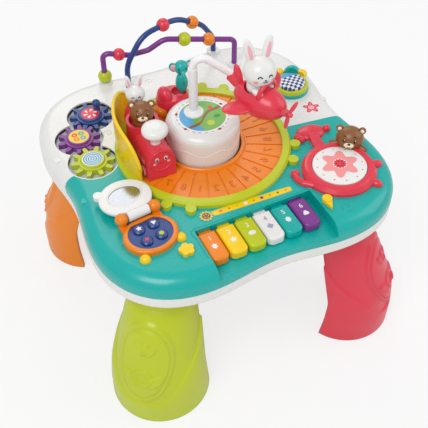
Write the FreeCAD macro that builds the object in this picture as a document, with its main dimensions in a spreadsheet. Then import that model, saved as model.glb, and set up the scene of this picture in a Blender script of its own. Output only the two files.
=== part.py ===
import FreeCAD, Part
import Sketcher
import math
import os

from FreeCAD import Placement, Rotation, Vector

# Musical activity table, in millimetres, +Z up.
# The origin is on the floor under the middle of the four lobed table top.
# The piano side faces -Y.

document = FreeCAD.newDocument("activity_table")
sheet = document.addObject("Spreadsheet::Sheet", "sizes")

driving_sizes = {
    "outline_radius": 222.8,
    "outline_wave": 25.7,
    "rim_bottom": 216,
    "seam_height": 235,
    "deck_height": 262,
    "shell_wall": 2.6,
    "shoulder": 19,
    "split_angle": -6.9,
    "split_shift": 1.1,
    "slip": 0.3,
    "pin_slip": 0.06,
    "pin_radius": 1.5,
    "ring_x": -9.6,
    "ring_y": 3.4,
    "ring_radius": 118,
    "ring_height": 8,
    "track_radius": 106,
    "track_height": 4,
    "plank_total": 26,
    "plank_groove": 2.4,
    "lip_radius": 54.5,
    "lip_width": 6,
    "lip_height": 8,
    "post_radius": 8,
    "hill_radius": 49,
    "hill_height": 51,
    "hill_top_radius": 37,
    "wall_first_angle": 124,
    "wall_last_angle": 200,
    "wall_height": 61,
    "wall_thickness": 3,
    "gear_module": 5,
    "gear_teeth": 10,
    "gear_thickness": 8.5,
    "gear_well_depth": 7,
    "key_pitch": 25.2,
    "key_gap": 1.6,
    "key_length": 46.5,
    "key_height": 11.3,
    "key_row_x": -9.5,
    "key_back": -137,
    "piano_depth": 17,
    "phone_x": -139.6,
    "phone_y": -87.6,
    "phone_angle": 6.5,
    "phone_width": 69,
    "phone_depth": 60,
    "phone_button_radius": 7.3,
    "drum_x": 128.3,
    "drum_y": -119,
    "drum_radius": 49,
    "drum_head_radius": 35.5,
    "spinner_x": 157.9,
    "spinner_y": 58.8,
    "spinner_radius": 25,
    "wire_radius": 4,
    "bead_radius": 9,
    "leg_reach": 212,
    "leg_foot_radius": 68,
    "leg_top_reach": 170,
    "leg_top_radius": 34.4,
    "leg_wall": 4,
    "leg_peg_radius": 18,
    "arm_radius": 6,
    "arm_top": 410,
    "train_radius": 75,
    "loco_width": 38,
    "plane_length": 76,
    "plane_width": 45,
    "battery_radius": 7.1,
    "battery_length": 50,
    "speaker_radius": 25,
    "screw_radius": 1.3,
    "key_tail_width": 16,
    "key_front_round": 8,
    "key_crown_round": 3.5,
    "key_plunger_radius": 3,
    "button_cap": 4.2,
    "button_round": 1.8,
    "button_stem_radius": 3,
    "gear_post_radius": 3.9,
    "gear_tray_thickness": 2.4,
    "drum_stem_radius": 4,
    "hub_arm_thickness": 3,
    "hub_arm_width": 12,
    "spinner_pin_radius": 3,
}
for row, (alias, value) in enumerate(driving_sizes.items(), start=1):
    sheet.set("A" + str(row), alias)
    sheet.set("B" + str(row), str(value))
    sheet.setAlias("B" + str(row), alias)
document.recompute()


def size(alias):
    """A driving dimension as a number."""
    return float(getattr(sheet, alias))


RIM_BOTTOM = size("rim_bottom")
SEAM = size("seam_height")
DECK = size("deck_height")
WALL = size("shell_wall")
SLIP = size("slip")
PIN = size("pin_radius")
PIN_BORE = PIN + size("pin_slip")
RING = Vector(size("ring_x"), size("ring_y"), 0)
BASE_FLOOR = RIM_BOTTOM + 3
UNDER_DECK = DECK - WALL
UP = Vector(0, 0, 1)

nodes = {}


def keep(label, piece):
    """Registers a finished sub-part under the name of its file."""
    piece.Label = label
    nodes[label] = piece
    return piece


def solid_node(label, shape, place=None):
    """A sub-part whose form is worked out by this file."""
    piece = document.addObject("Part::Feature", label)
    piece.Shape = shape
    if place is not None:
        piece.Placement = place.multiply(piece.Placement)
    return keep(label, piece)


def primitive(kind, name, place, **expressions):
    """A Part primitive whose sizes are bound to the sheet."""
    piece = document.addObject("Part::" + kind, name)
    piece.Placement = place
    for target, expression in expressions.items():
        piece.setExpression(target, expression)
    return piece


def joined(name, pieces):
    """A boolean union kept as an object of the document."""
    union = document.addObject("Part::MultiFuse", name)
    union.Shapes = pieces
    union.Refine = True
    return union


def minus(name, base, tool):
    """A boolean cut kept as an object of the document."""
    cut = document.addObject("Part::Cut", name)
    cut.Base = base
    cut.Tool = tool
    return cut


def rounded(name, base, radius, wanted):
    """A Part fillet on the edges that wanted picks, its radius read from the sheet."""
    document.recompute()
    fillet = document.addObject("Part::Fillet", name)
    fillet.Base = base
    picked = [n for n, edge in enumerate(base.Shape.Edges, start=1) if wanted(edge)]
    fillet.Edges = [(n, radius, radius) for n in picked]
    return fillet


def origin_plane(body, role):
    """One of a body's own origin planes."""
    return [f for f in body.Origin.OriginFeatures if f.Role == role][0]


def sketch_on(body, name, role, offset=0):
    """An empty sketch on an origin plane of its body, moved along the plane's normal."""
    sketch = body.newObject("Sketcher::SketchObject", name)
    sketch.AttachmentSupport = [(origin_plane(body, role), "")]
    sketch.MapMode = "FlatFace"
    sketch.AttachmentOffset = at(0, 0, offset)
    return sketch


def draw_rectangle(sketch, width, depth, front_y):
    """A rectangle centred on the sketch's vertical axis, its width and depth bound to the sheet."""
    corners = [Vector(-5, front_y, 0), Vector(5, front_y, 0), Vector(5, front_y + 9, 0),
               Vector(-5, front_y + 9, 0)]
    for first, last in zip(corners, corners[1:] + corners[:1]):
        sketch.addGeometry(Part.LineSegment(first, last))
    for n in range(4):
        sketch.addConstraint(Sketcher.Constraint("Coincident", n, 2, (n + 1) % 4, 1))
    for n, way in ((1, "Vertical"), (2, "Horizontal"), (3, "Vertical")):
        sketch.addConstraint(Sketcher.Constraint(way, n))
    sketch.addConstraint(Sketcher.Constraint("Symmetric", 0, 1, 0, 2, -2))
    sketch.addConstraint(Sketcher.Constraint("DistanceY", 0, 1, front_y))
    for number, (edge, kind, expression) in enumerate(((0, "DistanceX", width), (1, "DistanceY", depth))):
        index = sketch.addConstraint(Sketcher.Constraint(kind, edge, 1, edge, 2, 9))
        sketch.renameConstraint(index, "side_" + "ab"[number])
        sketch.setExpression("Constraints.side_" + "ab"[number], expression)


def draw_circle(sketch, x, y, radius):
    """A circle at a point, its radius bound to the sheet."""
    sketch.addGeometry(Part.Circle(Vector(x, y, 0), UP, 3))
    sketch.addConstraint(Sketcher.Constraint("DistanceX", 0, 3, x))
    sketch.addConstraint(Sketcher.Constraint("DistanceY", 0, 3, y))
    index = sketch.addConstraint(Sketcher.Constraint("Radius", 0, 3))
    sketch.renameConstraint(index, "reach")
    sketch.setExpression("Constraints.reach", radius)


def padded(body, name, sketch, length, upside_down=False):
    """A pad whose length is bound to the sheet."""
    pad = body.newObject("PartDesign::Pad", name)
    pad.Profile = sketch
    pad.setExpression("Length", length)
    pad.Reversed = upside_down
    return pad


def dressed(body, name, base, radius, wanted):
    """A PartDesign fillet on the edges that wanted picks."""
    document.recompute()
    fillet = body.newObject("PartDesign::Fillet", name)
    fillet.Base = (base, ["Edge" + str(n) for n, e in enumerate(base.Shape.Edges, start=1) if wanted(e)])
    fillet.setExpression("Radius", radius)
    return fillet


def at(x, y, z, angle=0, axis=UP):
    """A place: a point and a turn in degrees about an axis."""
    return Placement(Vector(x, y, z), Rotation(axis, angle))


def box(x0, x1, y0, y1, z0, z1):
    """A plain block between two corners."""
    return Part.makeBox(x1 - x0, y1 - y0, z1 - z0, Vector(x0, y0, z0))


def rod(radius, start, end):
    """A round bar between two points."""
    return Part.makeCylinder(radius, (end - start).Length, start, end - start)


def egg(centre, radii, place=None):
    """An ellipsoid from its three half lengths, turned by place about its middle."""
    matrix = FreeCAD.Matrix()
    matrix.scale(Vector(*radii))
    ball = Part.makeSphere(1).transformGeometry(matrix)
    if place is not None:
        ball = ball.transformGeometry(place.toMatrix())
    ball.translate(centre)
    return ball


def turned(profile, centre=Vector()):
    """A solid of revolution about a vertical axis from (radius, height) corners."""
    corners = [Vector(r, 0, z) for r, z in profile]
    face = Part.Face(Part.makePolygon(corners + corners[:1]))
    shape = face.revolve(Vector(), UP, 360)
    shape.translate(centre)
    return shape


def fused(first, *others):
    """One solid from several that overlap."""
    joined = first.multiFuse(list(others))
    merged = joined.removeSplitter()
    return merged if merged.isValid() and merged.Volume > 0 else joined


def polar(radius, degrees, centre=Vector(), height=0):
    """A point at a radius and an angle about a centre."""
    angle = math.radians(degrees)
    return centre + Vector(radius * math.cos(angle), radius * math.sin(angle), height)


# Table casing

def outline_reach(degrees, inset=0):
    """Distance from the middle to the edge: four lobes on the diagonals."""
    wave = size("outline_wave") * math.cos(4 * math.radians(degrees))
    return size("outline_radius") - wave - inset


def outline_face(height, inset=0):
    """The table's plan as a flat face, drawn in from its edge by inset."""
    points = [polar(outline_reach(a, inset), a, height=height) for a in range(0, 360, 10)]
    curve = Part.BSplineCurve()
    curve.interpolate(points, True)
    return Part.Face(Part.Wire(curve.toShape()))


def slab(low, high, inset, rounding, top=True):
    """The plan raised from low to high, with its top or bottom edge rounded."""
    shape = outline_face(low, inset).extrude(Vector(0, 0, high - low))
    level = high if top else low
    edges = [e for e in shape.Edges if abs(e.BoundBox.ZMin - level) < 0.01 and e.BoundBox.ZLength < 0.01]
    return shape.makeFillet(rounding, edges)


def cover_block():
    """The whole table top as a solid block."""
    return slab(SEAM, DECK, 0, size("shoulder"))


def cover_hollow():
    """The space inside the table top."""
    return slab(SEAM, UNDER_DECK, WALL, size("shoulder") - WALL)


gear_pitch_radius = size("gear_module") * size("gear_teeth") / 2
gear_spacing = 2 * gear_pitch_radius
gear_middle = Vector(-155.4, 88, 0)
toward_blue = 52.6
toward_green = -88.0
gear_places = {
    "blue": polar(gear_spacing, toward_blue, gear_middle),
    "purple": gear_middle,
    "green": polar(gear_spacing, toward_green, gear_middle),
}
gear_well_radius = gear_pitch_radius + size("gear_module") + 3
well_floor = DECK - size("gear_well_depth")

back_half = box(-400, 400, 0, 400, 0, 400)
back_half.Placement = at(0, size("split_shift"), 0, size("split_angle"))
green_well_frame = Part.makeCylinder(gear_well_radius + 1.5, 400, gear_places["green"])
back_region = fused(back_half, green_well_frame)

# Screws that hold the covers to the base come up from below at these places.
front_screws = [Vector(-97, -170, 0), Vector(97, -172, 0), Vector(-188, -25, 0), Vector(186, -40, 0)]
back_screws = [Vector(-195, 62, 0), Vector(-95, 178, 0), Vector(62, 176, 0), Vector(190, 20, 0)]
boss_radius = 4.2
screw_radius = size("screw_radius")


def bosses(places):
    """Screw posts from the base floor up to the underside of a cover."""
    posts = []
    for place in places:
        post = Part.makeCylinder(boss_radius, DECK - 1 - BASE_FLOOR, place + Vector(0, 0, BASE_FLOOR))
        pilot = Part.makeCylinder(screw_radius, SEAM - BASE_FLOOR, place + Vector(0, 0, BASE_FLOOR))
        posts.append(post.cut(pilot))
    return posts


# The ring of the play track sits over a round opening in the deck.
track_opening_radius = size("track_radius") - 4
track_opening = Part.makeCylinder(track_opening_radius, 60, RING + Vector(0, 0, SEAM - 1))

# Sockets in the back cover for the bead maze wires: outward foot, then far foot.
wire_radius = size("wire_radius")
purple_feet = [Vector(-79, 190.1, 0), Vector(111.2, 149.1, 0)]
blue_feet = [Vector(-53, 163.5, 0), Vector(97, 192, 0)]
socket_height = 3
socket_depth = 12


def wire_socket(foot):
    """A round boss that a wire's end plugs into."""
    return Part.makeCylinder(wire_radius + 6, socket_height + socket_depth,
                             foot + Vector(0, 0, DECK - socket_depth))


# Spinner, drum and phone stand on the deck, and each has a hole under it.
SPINNER = Vector(size("spinner_x"), size("spinner_y"), 0)
DRUM = Vector(size("drum_x"), size("drum_y"), 0)
phone_place = at(size("phone_x"), size("phone_y"), 0, size("phone_angle"))
button_radius = size("phone_button_radius")
button_stem_radius = size("button_stem_radius")
phone_centre_v = -size("phone_depth") / 2 - 1
button_offsets = [(-9.9, phone_centre_v + 11), (9.9, phone_centre_v + 11),
                  (9.9, phone_centre_v - 9), (-9.9, phone_centre_v - 9)]
drum_stem_radius = size("drum_stem_radius")

# The piano stands in a tray that is open at the front.
key_total = 6
keys_left = size("key_row_x") - key_total * size("key_pitch") / 2
keys_right = size("key_row_x") + key_total * size("key_pitch") / 2
tray_left = keys_left - 0.5
tray_right = keys_right + 10
tray_back = size("key_back") + 4
tray_floor = DECK - size("piano_depth")
key_axle_y = tray_back + 5
key_axle_z = tray_floor + 6.5
key_x = [keys_left + (i + 0.5) * size("key_pitch") for i in range(key_total)]
plunger_y = size("key_back") - 28
plunger_radius = size("key_plunger_radius")
tail_width = size("key_tail_width")
window_width = tail_width + 2


def build_back_cover():
    shell = cover_block().cut(cover_hollow())
    wells = [Part.makeCylinder(gear_well_radius, 40,
                               c + Vector(0, 0, well_floor)) for c in gear_places.values()]
    sockets = [wire_socket(f) for f in purple_feet + blue_feet]
    shell = shell.multiFuse(sockets + bosses(back_screws))
    shell = shell.cut(wells[0].multiFuse(wells[1:]))
    shell = shell.cut(track_opening)
    plugs = [Part.makeCylinder(wire_radius + 0.05, 40,
                               f + Vector(0, 0, DECK - socket_depth + 2)) for f in purple_feet + blue_feet]
    shell = shell.cut(plugs[0].multiFuse(plugs[1:]))
    return shell.common(back_region)


def build_front_cover():
    shell = cover_block().cut(cover_hollow())
    tray = box(tray_left - WALL, tray_right + WALL, -400, tray_back + WALL, tray_floor - WALL, DECK)
    bracket_z = key_axle_z - 4
    brackets = [box(tray_left - 6, tray_left - WALL, tray_back, key_axle_y + 5, bracket_z, DECK - 1),
                box(tray_right + WALL, tray_right + 6, tray_back, key_axle_y + 5, bracket_z, DECK - 1)]
    shell = shell.multiFuse([tray.common(cover_block())] + brackets + bosses(front_screws))
    shell = shell.cut(box(tray_left, tray_right, -400, tray_back, tray_floor, DECK + 1))
    cuts = [rod(PIN_BORE, Vector(tray_left - 8, key_axle_y, key_axle_z),
                Vector(tray_right + 8, key_axle_y, key_axle_z))]
    for x in key_x:
        cuts.append(box(x - window_width / 2, x + window_width / 2, tray_back - 1, tray_back + WALL + 1,
                        tray_floor + 1.5, key_axle_z + 5))
        cuts.append(Part.makeCylinder(plunger_radius + 1, 2 * WALL + 2,
                                      Vector(x, plunger_y, tray_floor - 2 * WALL)))
    for u, v in button_offsets:
        hole = Part.makeCylinder(button_stem_radius + 0.4, 30, phone_place.multVec(Vector(u, v, DECK - 20)))
        cuts.append(hole)
    cuts.append(Part.makeCylinder(drum_stem_radius + 0.5, 30, DRUM + Vector(0, 0, DECK - 20)))
    shell = shell.cut(cuts[0].multiFuse(cuts[1:]))
    return shell.cut(track_opening).cut(back_region)


# Base shell: tray with leg sockets, a centre post, a battery box and a speaker grille

leg_corners = {"front_left": 225, "front_right": 315, "back_left": 135, "back_right": 45}
peg_reach = size("leg_top_reach") + 8
peg_radius = size("leg_peg_radius")
peg_top = BASE_FLOOR + 12
cell_radius = size("battery_radius")
cell_pitch = 2 * cell_radius + 1
box_half_width = 1.5 * cell_pitch + 1.5
box_front = 68
box_back = box_front + size("battery_length") + 2.4
box_top = RIM_BOTTOM + 3 + 2 * cell_radius + 3
SPEAKER = Vector(-10, -88, 0)
switch_x = 62
switch_y = 92
post_radius = size("post_radius")
post_top = DECK + 36
board_level = 233
standoff_radius = 3
key_board_y = plunger_y
key_board_standoffs = [Vector(x, key_board_y, 0) for x in (keys_left + 4, keys_right - 4)]
main_board = Vector(88, -78, 0)
main_board_standoffs = [main_board + Vector(dx, dy, 0) for dx in (-26, 26) for dy in (-16, 16)]
phone_board_level = DECK - 13
phone_board_standoffs = [phone_place.multVec(Vector(u, phone_centre_v, 0)) for u in (-22, 22)]
drum_board_level = DECK - 14


def build_base_shell():
    shell = slab(RIM_BOTTOM, SEAM, 0, 5, top=False)
    cavity = outline_face(BASE_FLOOR, WALL).extrude(Vector(0, 0, SEAM - BASE_FLOOR + 1))
    shell = shell.cut(cavity)
    adds = []
    for angle in leg_corners.values():
        adds.append(Part.makeCylinder(peg_radius + 3, peg_top - BASE_FLOOR + 1.5,
                                      polar(peg_reach, angle, height=BASE_FLOOR)))
    adds.append(box(-box_half_width - 2, box_half_width + 2, box_front - 2, box_back + 2, RIM_BOTTOM,
                    box_top + 2))
    adds.append(Part.makeCylinder(post_radius, post_top - BASE_FLOOR, RING + Vector(0, 0, BASE_FLOOR)))
    track_support = turned([(size("lip_radius") - 2.5, BASE_FLOOR - 1),
                            (size("lip_radius"), BASE_FLOOR - 1),
                            (size("lip_radius"), DECK), (size("lip_radius") - 2.5, DECK)], RING)
    adds.append(track_support)
    for place in key_board_standoffs + main_board_standoffs:
        adds.append(Part.makeCylinder(standoff_radius, board_level - BASE_FLOOR,
                                      place + Vector(0, 0, BASE_FLOOR)))
    for place in phone_board_standoffs:
        adds.append(Part.makeCylinder(standoff_radius, phone_board_level - BASE_FLOOR,
                                      place + Vector(0, 0, BASE_FLOOR)))
    adds.append(Part.makeCylinder(standoff_radius, drum_board_level - BASE_FLOOR,
                                  DRUM + Vector(0, 0, BASE_FLOOR)))
    shell = shell.multiFuse(adds)
    cuts = []
    for angle in leg_corners.values():
        cuts.append(Part.makeCylinder(peg_radius + 0.15, peg_top - RIM_BOTTOM + 0.3,
                                      polar(peg_reach, angle, height=RIM_BOTTOM)))
    cuts.append(box(-box_half_width, box_half_width, box_front, box_back, RIM_BOTTOM - 1, box_top))
    for i in range(5):
        y = SPEAKER.y + (i - 2) * 7
        cuts.append(box(SPEAKER.x - 15, SPEAKER.x + 15, y - 1.5, y + 1.5, RIM_BOTTOM - 1, BASE_FLOOR + 1))
    cuts.append(box(switch_x - 4, switch_x + 10, switch_y - 2.5, switch_y + 2.5, RIM_BOTTOM - 1,
                    BASE_FLOOR + 1))
    for place in front_screws + back_screws:
        cuts.append(Part.makeCylinder(3.2, 2, place + Vector(0, 0, RIM_BOTTOM)))
        cuts.append(Part.makeCylinder(screw_radius, 4, place + Vector(0, 0, RIM_BOTTOM)))
    return shell.cut(cuts[0].multiFuse(cuts[1:])).removeSplitter()


solid_node("base_shell", build_base_shell())
solid_node("back_cover", build_back_cover())
solid_node("front_cover", build_front_cover())


# Legs: each is a bowed half cone that is open towards the middle, with a peg at its top

def leg_section(height, reach, radius, half_angle, wall):
    """A closed arc band in the plane at height, centred on the +X axis at reach."""
    middle = Vector(reach, 0, height)

    def on(r, degrees):
        return polar(r, degrees, middle)

    outer = Part.Arc(on(radius, -half_angle), on(radius, 0), on(radius, half_angle)).toShape()
    inner = Part.Arc(on(radius - wall, half_angle), on(radius - wall, 0),
                     on(radius - wall, -half_angle)).toShape()
    ends = [Part.makeLine(on(radius, half_angle), on(radius - wall, half_angle)),
            Part.makeLine(on(radius - wall, -half_angle), on(radius, -half_angle))]
    return Part.Wire([outer, ends[0], inner, ends[1]])


def build_leg():
    wall = size("leg_wall")
    foot_reach = size("leg_reach")
    foot_radius = size("leg_foot_radius")
    top_reach = size("leg_top_reach")
    top_radius = size("leg_top_radius")
    knee = 70
    sections = [leg_section(0, foot_reach, foot_radius, 108, wall),
                leg_section(knee / 2, foot_reach + 2, foot_radius - 1.5, 106, wall),
                leg_section(knee, foot_reach + 1, foot_radius - 4.5, 104, wall),
                leg_section(RIM_BOTTOM - 66, (foot_reach + top_reach) / 2 + 2,
                            (foot_radius + top_radius) / 2, 107, wall),
                leg_section(RIM_BOTTOM, top_reach, top_radius, 110, wall)]
    shell = Part.makeLoft(sections, True, False)
    plate_radius = top_radius - 1
    plate = Part.makeCylinder(plate_radius, 5, Vector(top_reach, 0, RIM_BOTTOM - 5))
    plate = plate.common(box(peg_reach - peg_radius - 3, top_reach + 60, -60, 60, 0, RIM_BOTTOM))
    peg = Part.makeCylinder(peg_radius, peg_top - RIM_BOTTOM + 2, Vector(peg_reach, 0, RIM_BOTTOM - 2))
    return fused(shell, plate, peg)


leg_shape = build_leg()
for corner, angle in leg_corners.items():
    solid_node("leg_" + corner, leg_shape.copy(), at(0, 0, 0, angle))


# Play ring: lime rim with leaf pairs, orange planks and a raised inner lip

def build_track_rim():
    inner = size("track_radius") + 0.2
    outer = size("ring_radius")
    top = DECK + size("ring_height")
    ring = turned([(inner, DECK), (outer, DECK), (outer, top - 3), (outer - 2.5, top), (inner + 1, top),
                   (inner, top - 1)], RING)
    leaves = []
    for middle in (-129.5, -34, 58):
        for side in (-6.6, 6.6):
            root = polar(outer - 2, middle + side, RING, DECK)
            tip = polar(outer + 12.5, middle + 1.2 * side, RING, DECK)
            along = (tip - root).normalize()
            across = along.cross(UP)
            waist = root + along * 6.5
            left = Part.Arc(root, waist + across * 7, tip).toShape()
            right = Part.Arc(tip, waist - across * 7, root).toShape()
            leaves.append(Part.Face(Part.Wire([left, right])).extrude(Vector(0, 0, 6)))
    return fused(ring, *leaves)


def build_track_disc():
    lip_inner = size("lip_radius") - size("lip_width") / 2
    lip_outer = size("lip_radius") + size("lip_width") / 2
    top = DECK + size("track_height")
    lip_top = DECK + size("lip_height")
    disc = turned([(lip_inner, DECK), (size("track_radius"), DECK), (size("track_radius"), top),
                   (lip_outer, top),
                   (lip_outer - 1.2, lip_top - 1), (lip_outer - 2.4, lip_top), (lip_inner + 1, lip_top),
                   (lip_inner, lip_top - 1)], RING)
    grooves = []
    plank_total = int(size("plank_total"))
    first_groove = -124.6
    for i in range(plank_total):
        groove = box(lip_outer + 1.5, size("track_radius") + 1, -size("plank_groove") / 2,
                     size("plank_groove") / 2,
                     top - 1.4, top + 1)
        groove.Placement = Placement(RING, Rotation(UP, first_groove + i * 360 / plank_total))
        grooves.append(groove)
    return disc.cut(grooves[0].multiFuse(grooves[1:]))


def build_guard_wall():
    """A tall crescent that follows the ring's left side, its height a rounded bump along the way."""
    first = size("wall_first_angle")
    last = size("wall_last_angle")
    base = DECK + size("ring_height")
    half = size("wall_thickness") / 2
    step_total = 10
    wires = []
    for i in range(step_total + 1):
        share = 0.012 + 0.976 * i / step_total
        angle = first + share * (last - first)
        radius = size("ring_radius") - 2.2 - 7 * share ** 2
        height = size("wall_height") * math.sqrt(1 - abs(2 * share - 1) ** 4)
        corners = [polar(radius + d, angle, RING, base + h) for d, h in
                   ((-half, 0), (half, 0), (half, height), (-half, height))]
        wires.append(Part.makePolygon(corners + corners[:1]))
    return Part.makeLoft(wires, True, False)


solid_node("track_rim", build_track_rim())
solid_node("track_disc", build_track_disc())
solid_node("guard_wall", build_guard_wall())


# Gears in a grey tray, on posts of the tray

gear_low = well_floor + 0.6
gear_bore = size("gear_post_radius") + 0.1


def build_gear_tray():
    pieces = []
    for colour, centre in gear_places.items():
        plate_low = well_floor - size("gear_tray_thickness")
        pieces.append(primitive("Cylinder", "tray_plate_" + colour, at(centre.x, centre.y, plate_low),
                                Radius="sizes.gear_module * (sizes.gear_teeth / 2 + 1) + 3",
                                Height="sizes.gear_tray_thickness"))
        pieces.append(primitive("Cylinder", "tray_post_" + colour, at(centre.x, centre.y, well_floor - 1),
                                Radius="sizes.gear_post_radius", Height="sizes.gear_thickness - 1.4"))
    return joined("gear_tray", pieces)


def build_gear(phase, knob):
    """Ten tapered round ended fingers on a hub, with a raised round cap."""
    pitch = gear_pitch_radius
    root = pitch - 5.6
    tip = pitch + size("gear_module") - 0.6
    wheel = Part.makeCylinder(root, size("gear_thickness"), Vector(0, 0, 0))
    teeth = []
    tooth_total = int(size("gear_teeth"))
    for i in range(tooth_total):
        end = tip - 2.7
        corners = [Vector(root - 2, -3.7, 0), Vector(end, -2.7, 0), Vector(end, 2.7, 0),
                   Vector(root - 2, 3.7, 0)]
        tooth_height = size("gear_thickness") - 1.5
        tooth = Part.Face(Part.makePolygon(corners + corners[:1])).extrude(Vector(0, 0, tooth_height))
        nose = Part.makeCylinder(2.7, tooth_height, Vector(end, 0, 0))
        for part in (tooth, nose):
            part.rotate(Vector(), UP, phase + i * 360 / tooth_total)
            teeth.append(part)
    cap = Part.makeCone(root - 2.5, root - 4, 3, Vector(0, 0, size("gear_thickness") - 0.5))
    shape = fused(wheel, *(teeth + [cap]))
    shape = shape.cut(Part.makeCylinder(gear_bore + SLIP, size("gear_thickness") - 2, Vector()))
    if knob:
        stem = Part.makeCone(5, 3.6, 8, Vector(13, 0, size("gear_thickness")))
        ball = Part.makeSphere(6, Vector(13, 0, size("gear_thickness") + 12.5))
        stem.rotate(Vector(), UP, 24)
        ball.rotate(Vector(), UP, 24)
        shape = fused(shape, stem, ball)
    return shape


keep("gear_tray", build_gear_tray())
tooth_angle = 360 / size("gear_teeth")
gear_phases = {"blue": toward_blue, "purple": toward_blue + 180 + tooth_angle / 2}
purple_offset = (gear_phases["purple"] - toward_green) % tooth_angle
gear_phases["green"] = toward_green + 180 + tooth_angle / 2 - purple_offset
for colour, centre in gear_places.items():
    solid_node("gear_" + colour, build_gear(gear_phases[colour], colour == "blue"),
               at(centre.x, centre.y, gear_low))


# Bead maze: bent rods with beads

def bent_rod(points, radius, bends):
    """A round rod along straight runs that are joined by tangent arcs."""
    edges = []
    start = points[0]
    for corner, before, after, bend in zip(points[1:-1], points[:-2], points[2:], bends):
        back = (before - corner).normalize()
        ahead = (after - corner).normalize()
        half_turn = (math.pi - back.getAngle(ahead)) / 2
        reach = bend * math.tan(half_turn)
        first = corner + back * reach
        last = corner + ahead * reach
        bisector = (back + ahead).normalize()
        centre = corner + bisector * (bend / math.cos(half_turn))
        middle = centre - bisector * bend
        edges.append(Part.makeLine(start, first))
        edges.append(Part.Arc(first, middle, last).toShape())
        start = last
    edges.append(Part.makeLine(start, points[-1]))
    path = Part.Wire(edges)
    circle = Part.Wire(Part.makeCircle(radius, points[0], points[1] - points[0]))
    return path.makePipeShell([circle], True, False)


def along_feet(feet, distance, height):
    """A point above the straight line between a wire's two feet."""
    way = (feet[1] - feet[0]).normalize()
    return feet[0] + way * distance + Vector(0, 0, height)


purple_span = (purple_feet[1] - purple_feet[0]).Length
blue_span = (blue_feet[1] - blue_feet[0]).Length
wire_foot = DECK - socket_depth + 2
purple_points = [along_feet(purple_feet, d, z) for d, z in
                 ((0, wire_foot), (0, 314), (38, 304), (66, 308), (90, 323), (purple_span, 306),
                  (purple_span, wire_foot))]
blue_points = [along_feet(blue_feet, d, z) for d, z in
               ((0, wire_foot), (0, 302), (29, 340), (86, 346), (132, 318), (blue_span, 288),
                (blue_span, wire_foot))]
solid_node("maze_wire_purple", bent_rod(purple_points, wire_radius, (8, 18, 22, 22, 9)))
solid_node("maze_wire_blue", bent_rod(blue_points, wire_radius, (38, 38, 50, 50, 30)))


def bead_between(label, first, last, share, extra, half_angle):
    """A round bead threaded on a straight run of a wire, with flat ends about its bore."""
    place = Placement(first + (last - first) * share, Rotation(UP, last - first))
    ball = primitive("Sphere", label + "_ball", place, Radius="sizes.bead_radius + " + str(extra),
                     Angle1=str(-half_angle), Angle2=str(half_angle))
    low_place = place.multiply(at(0, 0, -15))
    bore = primitive("Cylinder", label + "_bore", low_place, Radius="sizes.wire_radius + sizes.slip",
                     Height="30")
    return minus(label + "_threaded", ball, bore)


bead_runs = {
    "bead_green_foot": (purple_points[0], purple_points[1], 0.36, 1, 53),
    "bead_red_ball": (purple_points[1], purple_points[2], 0.62, 0, 58),
    "bead_green_top": (purple_points[4], purple_points[5], 0.28, 1, 57),
    "bead_orange_top": (purple_points[4], purple_points[5], 0.625, 0.5, 54),
    "bead_red_arch": (blue_points[2], blue_points[3], 0.62, 0.5, 57),
    "bead_orange_arch": (blue_points[3], blue_points[4], 0.62, 0.5, 54),
}
for label, run in bead_runs.items():
    keep(label, bead_between(label, *run))


# Piano keys on a steel axle

def build_key(number, x):
    """A rounded bar with a tail that has a bore for the axle, and a plunger under it."""
    back = size("key_back")
    front = back - size("key_length")
    low = tray_floor + 2.3
    top = low + size("key_height")
    name = "key_" + str(number)
    body = document.addObject("PartDesign::Body", name)
    bar_sketch = sketch_on(body, name + "_bar_sketch", "XY_Plane", low)
    draw_rectangle(bar_sketch, "sizes.key_pitch - sizes.key_gap", "sizes.key_length", front)
    bar = padded(body, name + "_bar", bar_sketch, "sizes.key_height")
    corners = dressed(body, name + "_corners", bar, "sizes.key_front_round",
                      lambda e: e.BoundBox.ZLength > 5 and e.BoundBox.YMax < front + 1)
    dressed(body, name + "_crown", corners, "sizes.key_crown_round", lambda e: e.BoundBox.ZMin > top - 0.01)
    tail_sketch = sketch_on(body, name + "_tail_sketch", "XY_Plane", key_axle_z - 3.4)
    draw_rectangle(tail_sketch, "sizes.key_tail_width", str(key_axle_y + 4 - (back - 2)), back - 2)
    padded(body, name + "_tail", tail_sketch, "6.8")
    plunger_sketch = sketch_on(body, name + "_plunger_sketch", "XY_Plane", low + 1)
    draw_circle(plunger_sketch, 0, plunger_y, "sizes.key_plunger_radius")
    padded(body, name + "_plunger", plunger_sketch, str(low - board_level - 7), True)
    bore_sketch = sketch_on(body, name + "_bore_sketch", "YZ_Plane")
    draw_circle(bore_sketch, key_axle_y, key_axle_z, "sizes.pin_radius + sizes.pin_slip")
    bore = body.newObject("PartDesign::Pocket", name + "_bore")
    bore.Profile = bore_sketch
    bore.Type = "ThroughAll"
    bore.Midplane = True
    body.Placement = at(x, 0, 0)
    return body


for number, x in enumerate(key_x, start=1):
    keep("piano_key_" + str(number), build_key(number, x))


# Play phone: frame, button pad, four buttons, lid with a mirror

phone_top = DECK + 8
pad_low = DECK + 2.5
pad_top = DECK + 6.5
hinge_z = DECK + 14.5
hinge_ball = 8
hinge_ball_u = 22.5
barrel_half = 14.2
phone_half_width = size("phone_width") / 2
phone_half_depth = size("phone_depth") / 2


def oval(u, v, half_width, half_depth, low, high):
    """An upright oval block in the phone's own frame."""
    ellipse = Part.Ellipse(Vector(u, v, low), half_width, half_depth)
    return Part.Face(Part.Wire(ellipse.toShape())).extrude(Vector(0, 0, high - low))


def pad_outline(low, high, grow):
    """The D shaped button pad: an oval with its hinge side cut flat."""
    shape = oval(0, phone_centre_v, phone_half_width - 6.5 + grow, phone_half_depth - 5 + grow, low, high)
    return shape.common(box(-60, 60, -90, phone_centre_v + phone_half_depth - 9 + grow, low, high))


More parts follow.
